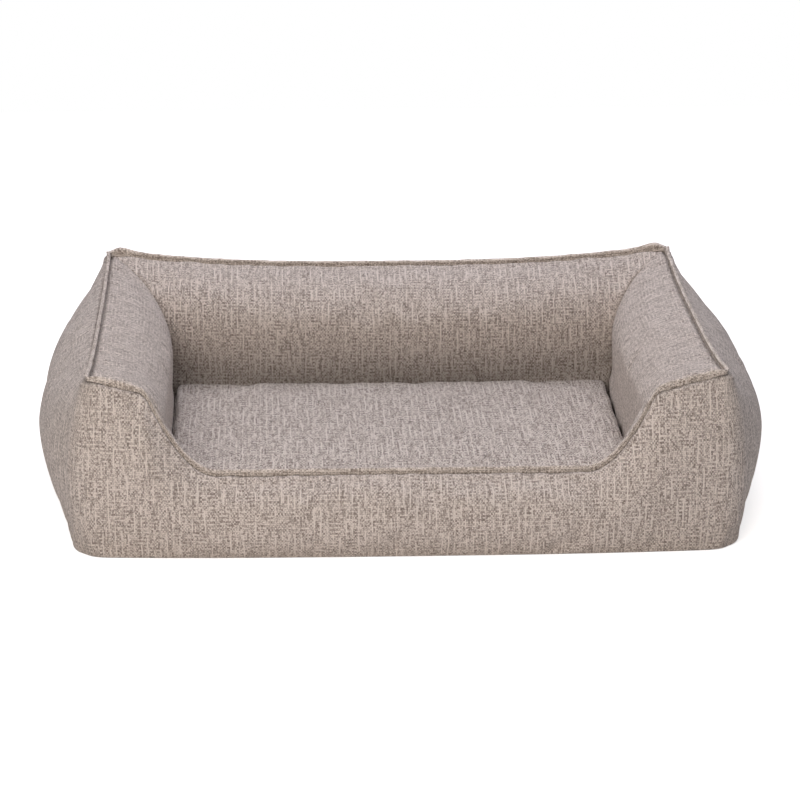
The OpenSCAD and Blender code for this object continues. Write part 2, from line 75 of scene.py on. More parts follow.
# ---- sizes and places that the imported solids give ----

FLANGE_T = 4 * MM
FLANGE_UP = 8 * MM
BASE_T = highest("base_panel").z
SEAM_X = highest("right_binding").x - FLANGE_T / 2
SEAM_BACK = highest("back_binding").y - FLANGE_T / 2
SEAM_FRONT = -lowest("front_binding").y - FLANGE_T / 2
SEAM_H = highest("right_binding").z - FLANGE_UP
SEAM_D = SEAM_FRONT + SEAM_BACK
MIDDLE_Y = (SEAM_BACK - SEAM_FRONT) / 2
BULGE = {
    "front": -lowest("front_outer_panel").y - SEAM_FRONT,
    "back": highest("back_outer_panel").y - SEAM_BACK,
    "side": highest("right_outer_panel").x - SEAM_X,
}
INWARD = {
    "front": SEAM_FRONT + highest("front_inner_panel").y,
    "back": SEAM_BACK - lowest("back_inner_panel").y,
    "side": SEAM_X - lowest("right_inner_panel").x,
}
# Half width of the well between the side walls' widest lines
WELL_X = SEAM_X - INWARD["side"]
MATTRESS_Z = lowest("mattress_bottom_panel").z
BAND_Z = lowest("mattress_side_band").z
BAND_TOP = highest("mattress_side_band").z
MATTRESS_TOP = highest("mattress_top_panel").z
MATTRESS_X = highest("mattress_bottom_panel").x
MATTRESS_BACK = highest("mattress_bottom_panel").y
MATTRESS_FRONT = lowest("mattress_bottom_panel").y
MATTRESS_Y = (MATTRESS_BACK + MATTRESS_FRONT) / 2
MATTRESS_DY = (MATTRESS_BACK - MATTRESS_FRONT) / 2

# ---- the pattern that the walls are cut to ----

WALLS = ("front", "right", "back", "left")
SEAM_R = 6 * MM
SAG = {"back": 22 * MM, "side": 16 * MM}
CORNER_BULGE = 28 * MM
FOOT_OUT = 24 * MM
SIDE_FOOT_BOW = 17 * MM
END_FOOT_BOW = 10 * MM
BULGE_SHARE = 0.49
SILL_BULGE_SHARE = 0.56
CREASE_IN = 85 * MM
FLOOR_IN = 70 * MM
INNER_Z = 140 * MM
SILL_H = 108 * MM
SILL_X = -8 * MM
SILL_HALF = 244 * MM
SHOULDER_HALF = 336 * MM
SWEEP_K = 1.9
SHOULDER_R = 9 * MM
SHOULDER_DROP = 19 * MM
SILL_SHARE = 0.52
# Exponents of the superelliptic sections, and of the bulge along a wall
OUTER_K, INNER_K, CREASE_K, OPEN_K, FLOOR_K = 1.6, 2.2, 1.5, 3.2, 1.6
SWELL_N, BACK_SWELL_N, CREASE_N = 2.8, 2, 3
# Share of a section's parameter that lies below its widest line
LOW_SHARE = 0.4
# Handles of the outer face's curve below that line, as shares of its width and of its height
LEAN_OUT, LEAN_UP = 0.47, (0.28, 0.67)
# Lowest part of the back wall's section, which is flat for the zip
STRIP_SHARE = 1 / 3
BACK_STRAIGHT = 0.748
# The cloth runs into the folded edge up to this distance from the seam's plane
CLOTH_END = 1.6 * MM
OPEN_END = 3 * MM
OPEN_SLOPE = 1.2
CHEEK_GAP = 1 * MM
HEM_IN = 2.5 * MM
HEM_Z = 0.9 * MM
# Height of the frame's zip up the cloth of the back wall
ZIP_RISE = 22 * MM
# The dressed cover differs a little from the plain solids: the foot's corners are rounder in plan,
# fading out at this height, and the empty back corners sink between the folded edges.
FOOT_R = 46 * MM
FOOT_R_UP = 42 * MM
CORNER_DROP = 4.5 * MM
CORNER_WIDE = 16 * MM
CORNER_FROM = 0.86
# Gap that the lift-out mattress keeps to the walls, which the filling presses against it
HUG_GAP = 1.5 * MM
HUG_FADE = 45 * MM
# Between its corners the back wall rolls away this far under the mattress's top
ROLL_DROP = 16 * MM
ROLL_FADE = 20 * MM
# Least room that each inner panel leaves for the mattress's way up
LIFT_ROOM = {"front": 0.7 * MM, "back": 1.2 * MM, "side": 0.9 * MM}
# Distances from the seam of a panel's last rows
SEAM_ROWS = (8.5 * MM, 6 * MM, 4.2 * MM, 2.8 * MM, 1.5 * MM, 0)
# Length of cloth round a corner: in the outer panels and in the folded edges
CORNER_CLOTH = 30 * MM
CORNER_EDGE = 6 * MM
# The edges sway sideways and rise and fall: how much, and their wavelengths
SWAY, SWAY_WAVES = 0.7 * MM, (67 * MM, 41 * MM, 23 * MM)
LIFT, LIFT_WAVES = 0.05, (53 * MM, 31 * MM)
CALM_CORNER = 30 * MM
# An ear's length along the edge and the dip at its tip, and the shares of the small ears
EAR_LONG, EAR_TIP, EAR_DIP = 20 * MM, 10 * MM, 1.4
SMALL_EAR, SIDE_RISE = 0.4, 0.6
# Wavelengths of a seam's gathers and of their coming and going, and where they begin and fade
GATHERS = (13 * MM, 17.5 * MM, 29 * MM)
GATHER_SPREAD = (90 * MM, 61 * MM)
GATHER_START, GATHER_FADE = 2.5 * MM, 16 * MM
# Width, and distance from the seam, of the groove beside it, of the shoulder past that and of the
# painted shade
GROOVE, SHOULDER, SEAM_DARK = (1.7 * MM, 2 * MM), (5 * MM, 9 * MM), (4 * MM, 1 * MM)
SHOULDER_SHARE = 0.6
# How dark the painted shade beside the seams is, in front and elsewhere
FRONT_DARK, OTHER_DARK = 1.0, 0.6
# How dark the painted shade is on the back wall where it meets the mattress, and how far up that
# fades
WELL_DARK, WELL_DARK_UP = 0.5, 50 * MM
# How dark the painted shade is on the mattress at its back and at its sides, and how far in that
# fades
BACK_DARK, BACK_DARK_IN = 0.4, 110 * MM
SIDE_DARK, SIDE_DARK_IN = 0.3, 20 * MM
SEAM_THREAD = 0.7 * MM
# Gap over the fillings, under the seams
FILLING_DROP = 4 * MM
SETTLING_FRAMES = 20
# Keeps a division from a zero length
TINY = 1e-9

# ---- materials' colours, as sRGB hex ----

YARNS = ("#82776f", "#a59a92", "#beb2aa", "#e6dcd4")
MATTRESS_YARNS = ("#776d66", "#a0948c", "#beb2aa", "#e5ddd5")
# Folded edge: the panels' cloth, its yarns made a little lighter as painted light for the light its
# rolled top catches
EDGE_YARNS = ("#8d8177", "#b1a59a", "#cdc1b6", "#f1e7de")
# Where the four yarn colours lie on the scale of tones
TONES = (0.63, 0.8, 0.96, 1.12)
TOP_TONE = 1.25
# Shares in a yarn's tone of its pepper, of every second pick and of its height, as painted shade
PEPPER_SHARE, RIB_SHARE, HEIGHT_SHARE = 0.64, 0.08, 0.24
SLUB_EVERY, SLUB_TONE, WEFT_TONE = 4.0, 0.2, -0.13
# Length over which the yarns run crooked, and how far in yarns, as warp and weft
DRIFT, DRIFT_WARP, DRIFT_WEFT = 24 * MM, 1.6, 1.2
# How far the fullest painted shade darkens the cloth's colour
DARKEST_SHADE = 0.8


def linear(code):
    """Linear RGBA of an sRGB hex colour."""
    parts = [int(code[k : k + 2], 16) / 255 for k in (1, 3, 5)]
    return [c / 12.92 if c <= 0.04045 else ((c + 0.055) / 1.055) ** 2.4 for c in parts] + [1.0]


def node(tree, kind, inputs=(), **settings):
    """Adds a node with its settings. Its inputs are a list, or a dict by name or number.
    Each is a value, or a node or an output to link."""
    made = tree.nodes.new(kind)
    for key, value in settings.items():
        setattr(made, key, value)
    for key, value in inputs.items() if isinstance(inputs, dict) else enumerate(inputs):
        if isinstance(value, bpy.types.Node):
            value = next(output for output in value.outputs if output.enabled)
        if isinstance(value, bpy.types.NodeSocket):
            tree.links.new(value, made.inputs[key])
        else:
            made.inputs[key].default_value = value
    return made


def cleared(block):
    """The emptied node tree of a material or a world."""
    block.use_nodes = True
    block.node_tree.nodes.clear()
    return block.node_tree


def surface(name, colour="#808080", **sockets):
    """A new material: its node tree and its Principled BSDF, with those sockets set."""
    material = bpy.data.materials.new(name)
    tree = cleared(material)
    shader = node(tree, "ShaderNodeBsdfPrincipled", {"Base Color": linear(colour)})
    for key, value in sockets.items():
        shader.inputs[key.replace("_", " ").title()].default_value = value
    node(tree, "ShaderNodeOutputMaterial", {"Surface": shader})
    return material, tree, shader


def drive(shader, **sources):
    """Links nodes to a shader's sockets."""
    for key, source in sources.items():
        target = shader.inputs[key.replace("_", " ").title()]
        shader.id_data.links.new(source.outputs[0], target)


# Upholstery weave: thick melange yarns of polyester and viscose in plain weave on a dobby loom,
# with a lighter slub yarn every fourth warp. Loose fibres scatter the light, so it is matt, and
# each yarn changes tone along its length, which reads as fine pepper and salt with upright lines.
def woven(name, yarns, warp=2.1 * MM, weft=2.7 * MM):
    material, tree, shader = surface(name, roughness=0.92, sheen_weight=0.12, sheen_roughness=0.6)
    math_, vector, blend = "ShaderNodeMath", "ShaderNodeVectorMath", "ShaderNodeMix"
    split, join = "ShaderNodeSeparateXYZ", "ShaderNodeCombineXYZ"
    noise, random = "ShaderNodeTexNoise", "ShaderNodeTexWhiteNoise"
    cloth = node(tree, "ShaderNodeUVMap", uv_map="cloth")
    # The yarns run a little crooked
    drift = {"Vector": cloth, "Scale": 1 / DRIFT, "Detail": 3.0, "Roughness": 0.65}
    drift = node(tree, noise, drift, noise_dimensions="2D").outputs["Color"]
    drift = [drift, (DRIFT_WARP * warp, DRIFT_WEFT * weft, 0), cloth]
    bent = node(tree, vector, drift, operation="MULTIPLY_ADD")
    yarn = node(tree, vector, [bent, (1 / warp, 1 / weft, 0)], operation="MULTIPLY")
    number = node(tree, vector, [yarn], operation="FLOOR")
    part = node(tree, vector, [yarn], operation="FRACTION")
    off = node(tree, vector, [part, (2, 2, 0), (-1, -1, 0)], operation="MULTIPLY_ADD")
    off = node(tree, split, [node(tree, vector, [off, off], operation="MULTIPLY")]).outputs
    x, y, _ = node(tree, split, [yarn]).outputs
    column, row, _ = node(tree, split, [number]).outputs
    # Which yarn lies on top: every other crossing, and the slub yarns nearly always
    crossing = node(tree, math_, [column, row], operation="ADD")
    over = node(tree, math_, [crossing, 2.0], operation="FLOORED_MODULO")
    fourth = node(tree, math_, [column, SLUB_EVERY], operation="FLOORED_MODULO")
    slub = node(tree, math_, [fourth, 1.0], operation="LESS_THAN")
    thick = node(tree, math_, [y, 0.07], operation="MULTIPLY")
    thick = {"Vector": node(tree, join, [column, thick, 9.0]), "Scale": 1.0, "Detail": 0.0}
    thick = node(tree, "ShaderNodeMapRange", [node(tree, noise, thick), 0.4, 0.6])
    slub = node(tree, math_, [slub, thick], operation="MULTIPLY")
    over = node(tree, math_, [over, slub], operation="MAXIMUM")
    # Height of the yarn on top: round across it, flat along it
    round_x, round_y = (node(tree, math_, [1.0, off[k]], operation="SUBTRACT") for k in (0, 1))
    height = node(tree, blend, {0: over, 2: round_y, 3: round_x})
    # Tones: each crossing by itself, each warp yarn slowly along its length, each weft yarn faster
    ply = node(tree, vector, [yarn, (2, 2, 1)], operation="MULTIPLY")
    ply = node(tree, vector, [ply], operation="FLOOR")
    ply = node(tree, random, {"Vector": ply}, noise_dimensions="2D")
    pepper = node(tree, random, {"Vector": number}, noise_dimensions="2D")
    pepper = node(tree, blend, {0: 0.6, 2: pepper, 3: ply})
    warp_at = [column, node(tree, math_, [y, 0.11], operation="MULTIPLY")]
    weft_at = [node(tree, math_, [x, 0.3], operation="MULTIPLY"), row]
    tones = []
    for at, stretch in ((warp_at, (3.7, 1, 0)), (weft_at, (1, 3.3, 0))):
        at = node(tree, vector, [node(tree, join, at), stretch], operation="MULTIPLY")
        along = {"Vector": at, "Scale": 1.0, "Detail": 2.0, "Roughness": 0.6}
        tones.append(node(tree, noise, along, noise_dimensions="2D"))
    lighter = node(tree, math_, [slub, SLUB_TONE, tones[0]], operation="MULTIPLY_ADD")
    darker = node(tree, math_, [tones[1], WEFT_TONE], operation="ADD")
    tone = node(tree, blend, {0: over, 2: darker, 3: lighter})
    rib = node(tree, math_, [row, 2.0], operation="FLOORED_MODULO")
    # The height adds painted shade: the yarns' sides and the gaps between them are darker
    for source, share in ((pepper, PEPPER_SHARE), (rib, RIB_SHARE), (height, HEIGHT_SHARE)):
        tone = node(tree, math_, [source, share, tone], operation="MULTIPLY_ADD")
    scaled = node(tree, math_, [tone, TOP_TONE], operation="DIVIDE")
    ramp = node(tree, "ShaderNodeValToRGB", [scaled])
    stops = ramp.color_ramp.elements
    for k, (place, colour) in enumerate(zip(TONES, yarns)):
        stop = stops.new(place / TOP_TONE) if k > 1 else stops[k]
        stop.position = place / TOP_TONE
        stop.color = linear(colour)
    # Painted shade: a value at each point darkens the colour by the seams and where walls and
    # mattress meet
    shade_amount = node(tree, "ShaderNodeAttribute", attribute_name="painted_shade").outputs["Fac"]
    left = node(tree, math_, [shade_amount, -DARKEST_SHADE, 1.0], operation="MULTIPLY_ADD")
    shaded_colour = node(tree, vector, {0: ramp, "Scale": left}, operation="SCALE")
    relief = node(tree, math_, [tone, 0.5, height], operation="MULTIPLY_ADD")
    bump = {"Height": relief, "Distance": 0.5 * MM, "Strength": 0.8}
    bump = node(tree, "ShaderNodeBump", bump)
    drive(shader, base_color=shaded_colour, normal=bump)
    return material


def textured(name, colour, *textures, ramp=None, rough=None, bump=None, invert=False, **sockets):
    """A material with textures on the piece's own coordinates. The first can drive the colour,
    from one to another at a place, and the roughness, from one to another. All together they are
    the bump, of a height and a strength."""
    material, tree, shader = surface(name, colour, **sockets)
    at = node(tree, "ShaderNodeTexCoord").outputs["Object"]
    values = []
    for kind, inputs, settings in textures:
        made = node(tree, "ShaderNodeTex" + kind, {"Vector": at, **inputs}, **settings)
        values.append(made.outputs.get("Fac") or made.outputs["Distance"])
    if ramp:
        blend = node(tree, "ShaderNodeValToRGB", values[:1])
        first, last = blend.color_ramp.elements
        first.color, last.color, last.position = linear(ramp[0]), linear(ramp[1]), ramp[2]
        drive(shader, base_color=blend)
    if rough:
        low, high = rough
        drive(shader, roughness=node(tree, "ShaderNodeMapRange", {0: values[0], 3: low, 4: high}))
    if bump:
        height = values[0]
        for more in values[1:]:
            height = node(tree, "ShaderNodeMath", [height, more], operation="ADD")
        relief = {"Height": height, "Distance": bump[0], "Strength": bump[1]}
        drive(shader, normal=node(tree, "ShaderNodeBump", relief, invert=invert))
    return material


# Topstitch thread: bonded polyester, two plies twisted, with a slight shine.
def thread_material():
    twist = ("Wave", {"Scale": 900.0, "Distortion": 1.0}, {"bands_direction": "DIAGONAL"})
    bump = (0.1 * MM, 0.6)
    return textured("stitch_thread_polyester", "#7d7167", twist, bump=bump, roughness=0.6)


# Anti-slip cloth: black spunbonded polypropylene with its small point-bond pattern, matt.
def nonwoven_material():
    fibres = ("Noise", {"Scale": 900.0, "Detail": 4.0}, {})
    bonds = ("Voronoi", {"Scale": 1 / (1.6 * MM)}, {"distance": "CHEBYCHEV"})
    looks = {"ramp": ("#202022", "#3a3a3d", 1), "bump": (0.2 * MM, 0.7), "roughness": 0.85}
    return textured("spunbond_polypropylene", "#2b2b2d", fibres, bonds, **looks)


# Grip dots: soft PVC printed through a screen and cured, smooth and slightly glossy.
def dot_material():
    orange_peel = ("Noise", {"Scale": 350.0, "Detail": 2.0}, {})
    bump = (0.1 * MM, 0.4)
    return textured("screen_printed_pvc", "#1b1b1d", orange_peel, bump=bump, roughness=0.42)


# Cut polyurethane foam: open cells that show as small pits, matt, darker towards the middle of each
# pit.
def foam_material(name="cut_polyurethane_foam", light="#ece4cf", dark="#cbbf9f", cell=1.4 * MM):
    cells = ("Voronoi", {"Scale": 1 / cell}, {"feature": "DISTANCE_TO_EDGE"})
    looks = {"ramp": (light, dark, 0.45), "bump": (0.5 * MM, 0.7), "invert": True}
    return textured(name, light, cells, roughness=0.95, **looks)


# Zip tape: woven polyester with fine cross ribs and a herringbone look, semi-matt.
def tape_material():
    ribs = ("Wave", {"Scale": 320.0, "Distortion": 0.4}, {"bands_direction": "X"})
    looks = {"ramp": ("#695e56", "#8b7f75", 1), "bump": (0.2 * MM, 0.7), "roughness": 0.7}
    return textured("woven_polyester_tape", "#7b6f66", ribs, **looks)


# Zip coil: extruded polyester monofilament, dyed with the tape, with a plastic gloss.
def coil_material():
    gloss = ("Noise", {"Scale": 700.0, "Detail": 2.0}, {})
    return textured("polyester_monofilament", "#6c6159", gloss, rough=(0.28, 0.45), roughness=0.35)


# Zip slider: die-cast zinc, barrel-tumbled and nickel plated, with a satin shine and fine scuffs.
def zinc_material():
    scuffs = ("Noise", {"Scale": 1200.0, "Detail": 5.0, "Roughness": 0.7}, {})
    looks = {"rough": (0.2, 0.45), "bump": (0.03 * MM, 0.3), "metallic": 1.0, "roughness": 0.3}
    return textured("nickel_plated_zinc", "#b9b6b0", scuffs, **looks)


# ---- sections and places of the walls, as arrays ----


def mix(a, b, w):
    return a + (b - a) * w


def ease(v):
    w = np.clip(v, 0, 1)
    return w * w * (3 - 2 * w)


def bell(x, width, middle=0.0):
    """A bell curve, 1 at its middle."""
    return np.exp(-(((x - middle) / width) ** 2))


def sup_sin(a, k):
    return np.clip(np.sin(np.pi / 2 * a), 0, 1) ** (2 / k)


def sup_cos(a, k):
    return np.clip(np.cos(np.pi / 2 * a), 0, 1) ** (2 / k)


def bezier(a, b, c, d, t):
    s = 1 - t
    return s**3 * a + 3 * s * s * t * b + 3 * s * t * t * c + t**3 * d


def straight(wall):
    """Half length of a wall's seam between its corner arcs."""
    return (SEAM_D / 2 if wall in ("right", "left") else SEAM_X) - SEAM_R


def even(count):
    return np.linspace(0, 1, count + 1)


def stations(straight_ones, corner):
    """Values of u along a wall: on its straight, and on the arcs at both ends."""
    return np.concatenate([-corner[::-1], straight_ones, corner])


def along_wall(wall, u, arc):
    """Length along a wall from its middle, with the cloth of a corner arc that long."""
    turned = arc * np.maximum(np.abs(u) - 1, 0)
    return np.sign(u) * (straight(wall) * np.minimum(np.abs(u), 1) + turned)


def to_bed(wall, along, out, z):
    """From a wall's own directions, along it, out of it and up, to the bed's."""
    along, out, z = np.broadcast_arrays(along, out, z)
    if wall == "front":
        return np.stack([-along, -SEAM_FRONT - out, z], -1)
    if wall == "back":
        return np.stack([along, SEAM_BACK + out, z], -1)
    side = 1 if wall == "right" else -1
    return np.stack([side * (SEAM_X + out), MIDDLE_Y - along, z], -1)


def round_corner(wall, u, out, z):
    """u is -1 to 1 on the straight, and goes on to -2 and 2 round the corner arcs."""
    turn = np.pi / 4 * np.maximum(np.abs(u) - 1, 0)
    along = straight(wall) * np.minimum(np.abs(u), 1) + (SEAM_R + out) * np.sin(turn)
    return to_bed(wall, np.sign(u) * along, (SEAM_R + out) * np.cos(turn) - SEAM_R, z)


def front_seam_z(x):
    a = np.abs(x - SILL_X)
    far = straight("front")
    fall = np.clip((far - np.abs(x)) / (far - SHOULDER_HALF), 0, 1.3)
    top = SEAM_H - SHOULDER_DROP * fall**1.1
    sweep = np.maximum((a - SILL_HALF) / (SHOULDER_HALF - SILL_HALF), 0) ** SWEEP_K
    sweep = SILL_H + (SEAM_H - SHOULDER_DROP - SILL_H) * sweep
    blend = (sweep + top - np.hypot(sweep - top, SHOULDER_R)) / 2
    return np.minimum(blend + SHOULDER_R**2 / 4 / (top - SILL_H), SEAM_H)


def seam_z(wall, u):
    a = np.minimum(np.abs(u), 1)
    if wall == "front":
        return front_seam_z(-np.sign(u) * a * straight(wall))
    return SEAM_H - SAG["back" if wall == "back" else "side"] * (1 - a**SWELL_N)


def swell(wall, u):
    a = np.minimum(np.abs(u), 1)
    if wall == "back":
        return 1 - (np.maximum(a - BACK_STRAIGHT, 0) / (1 - BACK_STRAIGHT)) ** BACK_SWELL_N
    return 1 - a**SWELL_N


def crowned(t, k, wide, h, wide_z, low_out, low_z):
    """A section from its lower part and a superellipse, from the widest line up to the seam."""
    stop = np.arccos((CLOTH_END / wide) ** (k / 2)) / (np.pi / 2)
    high = stop * np.clip((t - LOW_SHARE) / (1 - LOW_SHARE), 0, 1)
    above = t > LOW_SHARE
    return (
        np.where(above, wide * sup_cos(high, k), low_out),
        np.where(above, wide_z + (h - wide_z) * sup_sin(high, k), low_z),
    )


def outer_section(wall, u, t):
    """Distance out of the seam's plane and height, from the foot (t = 0) to the seam (t = 1)."""
    h = seam_z(wall, u)
    full = swell(wall, u)
    b = mix(CORNER_BULGE, BULGE.get(wall, BULGE["side"]), full)
    foot = FOOT_OUT + (END_FOOT_BOW if wall in ("front", "back") else SIDE_FOOT_BOW) * full
    wide_z = BULGE_SHARE * SEAM_H + 0 * h
    if wall == "front":
        wide_z = mix(BULGE_SHARE, SILL_BULGE_SHARE, full) * h
    low = np.clip(t / LOW_SHARE, 0, 1)

    def lower(s):
        handles = (mix(BASE_T, wide_z, share) for share in LEAN_UP)
        return bezier(foot, mix(foot, b, LEAN_OUT), b, b, s), bezier(BASE_T, *handles, wide_z, s)

    out, z = lower(low)
    if wall == "back":
        flat = full * (low < STRIP_SHARE)
        strip_out, strip_z = lower(STRIP_SHARE)
        out = mix(out, mix(foot, strip_out, low / STRIP_SHARE), flat)
        z = mix(z, mix(BASE_T, strip_z, low / STRIP_SHARE), flat)
    return crowned(t, OUTER_K, b, h, wide_z, out, z)


def inner_section(wall, v, t):
    """Distance in from the seam's plane and height, from the floor (t = 0) to the seam (t = 1)."""
    toward_back = np.abs(v) if wall == "back" else np.maximum(-v, 0)
    crease = toward_back**CREASE_N
    b = mix(INWARD["side"], CREASE_IN, crease)
    k = mix(mix(INNER_K, CREASE_K, crease), OPEN_K, np.maximum(v, 0) ** 2)
    h = seam_z(wall, v)
    wide_z = INNER_Z + 0 * h
    if wall == "back":
        b, k = mix(INWARD["back"], CREASE_IN, crease), mix(INNER_K, CREASE_K, crease)
    if wall == "front":
        b, k = INWARD["front"] + 0 * v, INNER_K + 0 * v
        h = front_seam_z(-v * WELL_X)
        wide_z = SILL_SHARE * h
    low = np.clip(t / LOW_SHARE, 0, 1)
    low_in = mix(FLOOR_IN, b, sup_sin(low, FLOOR_K))
    low_z = mix(wide_z, BASE_T, sup_cos(low, FLOOR_K))
    inward, z = crowned(t, k, b, h, wide_z, low_in, low_z)
    if wall != "front":
        back, side = SEAM_BACK - MATTRESS_BACK, SEAM_X - MATTRESS_X
        corner = (min(back, side) + CREASE_IN) / 2
        reach = mix(back if wall == "back" else side, corner, crease)
        inward = hug(inward, z, reach, crease if wall == "back" else 1)
    return inward, z


def hug(inward, z, reach, full=1):
    """Distance in of a wall, whose lower part the filling presses against the mattress. The back
    wall rolls away over the mattress between its corners, where full is 0."""
    top = MATTRESS_TOP - ROLL_DROP + HUG_FADE * full
    near = ease((z - HUG_FADE / 3) / HUG_FADE) * ease((top - z) / mix(ROLL_FADE, HUG_FADE, full))
    return mix(inward, np.maximum(inward, reach - HUG_GAP), near)


def round_foot(points):
    """Rounds the outer panels' corners in plan, most at the foot."""
    centre = np.array((SEAM_X + FOOT_OUT - FOOT_R, SEAM_D / 2 + FOOT_OUT - FOOT_R))
    flat = points[..., :2] - (0, MIDDLE_Y)
    over = np.maximum(np.abs(flat) - centre, 0) / FOOT_R
    length = np.maximum(np.hypot(over[..., 0], over[..., 1]), TINY)
    reach = (over[..., 0] ** 4 + over[..., 1] ** 4) ** 0.25
    pulled = centre + over * (reach / length)[..., None] * FOOT_R
    low = (1 - np.clip(points[..., 2] / FOOT_R_UP, 0, 1)) ** 1.5
    low = low * ((over[..., 0] > 0) & (over[..., 1] > 0))
    place = mix(np.abs(flat), np.maximum(pulled, centre), low[..., None])
    return np.concatenate([np.sign(flat) * place + (0, MIDDLE_Y), points[..., 2:]], -1)


def side_reach(z):
    """Reach of the side walls into the bed at height z, at their front end."""
    c = np.clip((INNER_Z - z) / (INNER_Z - BASE_T), 0, 1) ** (FLOOR_K / 2)
    return hug(mix(FLOOR_IN, INWARD["side"], (1 - c * c) ** (1 / FLOOR_K)), z, SEAM_X - MATTRESS_X)


def inner_place(wall, v, inward, z, room=0.0):
    if wall == "back":
        return to_bed(wall, v * (SEAM_X - inward), -inward, z)
    if wall == "front":
        return to_bed(wall, v * (SEAM_X - side_reach(z) - CHEEK_GAP), -inward, z)
    along = mix(inward - SEAM_D / 2, SEAM_D / 2 - OPEN_END, (1 + v) / 2)
    # Its front end is sewn in under the front wall's seam
    side = 1 if wall == "right" else -1
    limit = front_seam_z(side * (SEAM_X - inward)) + OPEN_SLOPE * (SEAM_D / 2 - OPEN_END - along)
    return to_bed(wall, along, -inward, np.minimum(z, limit - room))


def under(section, wall, u, t, depth):
    """A section's points, moved under its face by a depth, level at the foot."""
    out, z = section(wall, u, t)
    step = 0.004
    out_b, z_b = section(wall, u, np.minimum(t + step, 1))
    out_a, z_a = section(wall, u, np.maximum(t - step, 0))
    length = np.maximum(np.hypot(out_b - out_a, z_b - z_a), TINY)
    n_out, n_z = (z_b - z_a) / length, -(out_b - out_a) / length
    foot = t <= 0
    return (
        np.where(foot, out - depth / np.maximum(n_out, 0.5), out - depth * n_out),
        np.where(foot, z, np.maximum(z - depth * n_z, BASE_T)),
    )


def levels_by_length(section, wall, u, low_rows, high_rows, near=(0,)):
    """Section parameters of rows that lie at given shares of the lower and the upper length, and of
    the last rows, at given distances from the seam.
    Returns them with the rows' lengths up the cloth, both as (columns, rows)."""
    fine = 80
    t = np.linspace(0, LOW_SHARE, fine)
    t = np.concatenate([t, np.linspace(LOW_SHARE, 1, 3 * fine // 2)[1:]])
    out, z = section(wall, u[:, None], t[None])
    steps = np.hypot(np.diff(out, axis=1), np.diff(z, axis=1))
    length = np.concatenate([np.zeros((len(u), 1)), np.cumsum(steps, 1)], 1)
    low, seam = length[:, fine - 1 : fine], length[:, -1:]
    near = np.array(near)
    high = low + (seam - near[0] - low) * high_rows[1:]
    rows = np.concatenate([low * low_rows, high, seam - near[1:]], 1)
    return np.array([np.interp(r, le, t) for r, le in zip(rows, length)]), rows


# ---- meshes ----


def object_of(name, mesh, material=None):
    made = bpy.data.objects.new(name, mesh)
    bpy.context.scene.collection.objects.link(made)
    if material:
        mesh.materials.append(material)
    return made


def piece_of(name, points, faces, material=None, uv=None):
    """A smooth piece. uv has one pair for each point."""
    mesh = bpy.data.meshes.new(name)
    points = np.asarray(points, float).reshape(-1, 3)
    mesh.from_pydata(points.tolist(), [], [list(map(int, f)) for f in faces])
    mesh.polygons.foreach_set("use_smooth", np.ones(len(mesh.polygons), bool))
    if uv is not None:
        corner = read(mesh.loops, "vertex_index", kind=int)
        uv = uv.reshape(-1, 2)[corner].ravel()
        mesh.uv_layers.new(name="cloth").uv.foreach_set("vector", uv)
    return object_of(name, mesh, material)


def grid_faces(columns, rows, flip=False, skip=None):
    """Quads of a grid of points that lie column after column."""
    i, j = np.meshgrid(np.arange(columns - 1), np.arange(rows - 1), indexing="ij")
    if skip is not None:
        i, j = i[~skip], j[~skip]
    p = (i * rows + j).ravel()
    quads = np.stack([p, p + rows, p + rows + 1, p + 1], 1)
    return quads[:, ::-1] if flip else quads


def ring_faces(rings, count):
    """Quads between rings that follow each other, each of that many points."""
    sides = [(j, (j + 1) % count) for j in range(count)]
    pairs = ((a + i, b + i) for i in range(0, (rings - 1) * count, count) for a, b in sides)
    return [[a, a + count, b + count, b] for a, b in pairs]


def tube(name, rings, material, uv=None):
    """A closed piece through rings of points, with both ends closed by a fan."""
    count, n = rings.shape[:2]
    faces = ring_faces(count, n)
    first, last = count * n, count * n + 1
    for j in range(n):
        k = (j + 1) % n
        faces += [[first, j, k], [last, last - 1 - n + k, last - 1 - n + j]]
    points = np.concatenate([rings.reshape(-1, 3), rings[0].mean(0)[None], rings[-1].mean(0)[None]])
    if uv is not None:
        uv = np.concatenate([uv.reshape(-1, 2), uv[0].mean(0)[None], uv[-1].mean(0)[None]])
    # The faces' normals point out of the solid that they close
    fans = [(f[0], f[k], f[k + 1]) for f in faces for k in range(1, len(f) - 1)]
    a, b, c = points[np.transpose(fans)]
    if (a * np.cross(b, c)).sum() < 0:
        faces = [f[::-1] for f in faces]
    return piece_of(name, points, faces, material, uv)


def baked(piece):
    """Turns a piece's modifiers into a plain mesh."""
    graph = bpy.context.evaluated_depsgraph_get()
    graph.update()
    mesh = bpy.data.meshes.new_from_object(piece.evaluated_get(graph))
    piece.modifiers.clear()
    piece.data = mesh
    return piece


def smoothed(piece):
    """One level of subdivision, applied."""
    finer = piece.modifiers.new("subdivision", "SUBSURF")
    finer.levels = finer.render_levels = 1
    finer.boundary_smooth = "PRESERVE_CORNERS"
    return baked(piece)


def give_thickness(piece, thickness):
    wall = piece.modifiers.new("cloth thickness", "SOLIDIFY")
    wall.thickness = thickness
    wall.offset = -1
    wall.use_rim = True


def read(items, key, width=1, kind=np.float32):
    """A value of each item as an array."""
    values = np.zeros(len(items) * width, kind)
    items.foreach_get(key, values)
    return values.reshape(-1, width) if width > 1 else values


def coordinates(mesh):
    return read(mesh.vertices, "co", 3, float)


def write(mesh, label, values):
    """Keeps a value of each point with the mesh."""
    attribute = mesh.attributes.new(label, "FLOAT", "POINT")
    attribute.data.foreach_set("value", values.ravel().astype(np.float32))


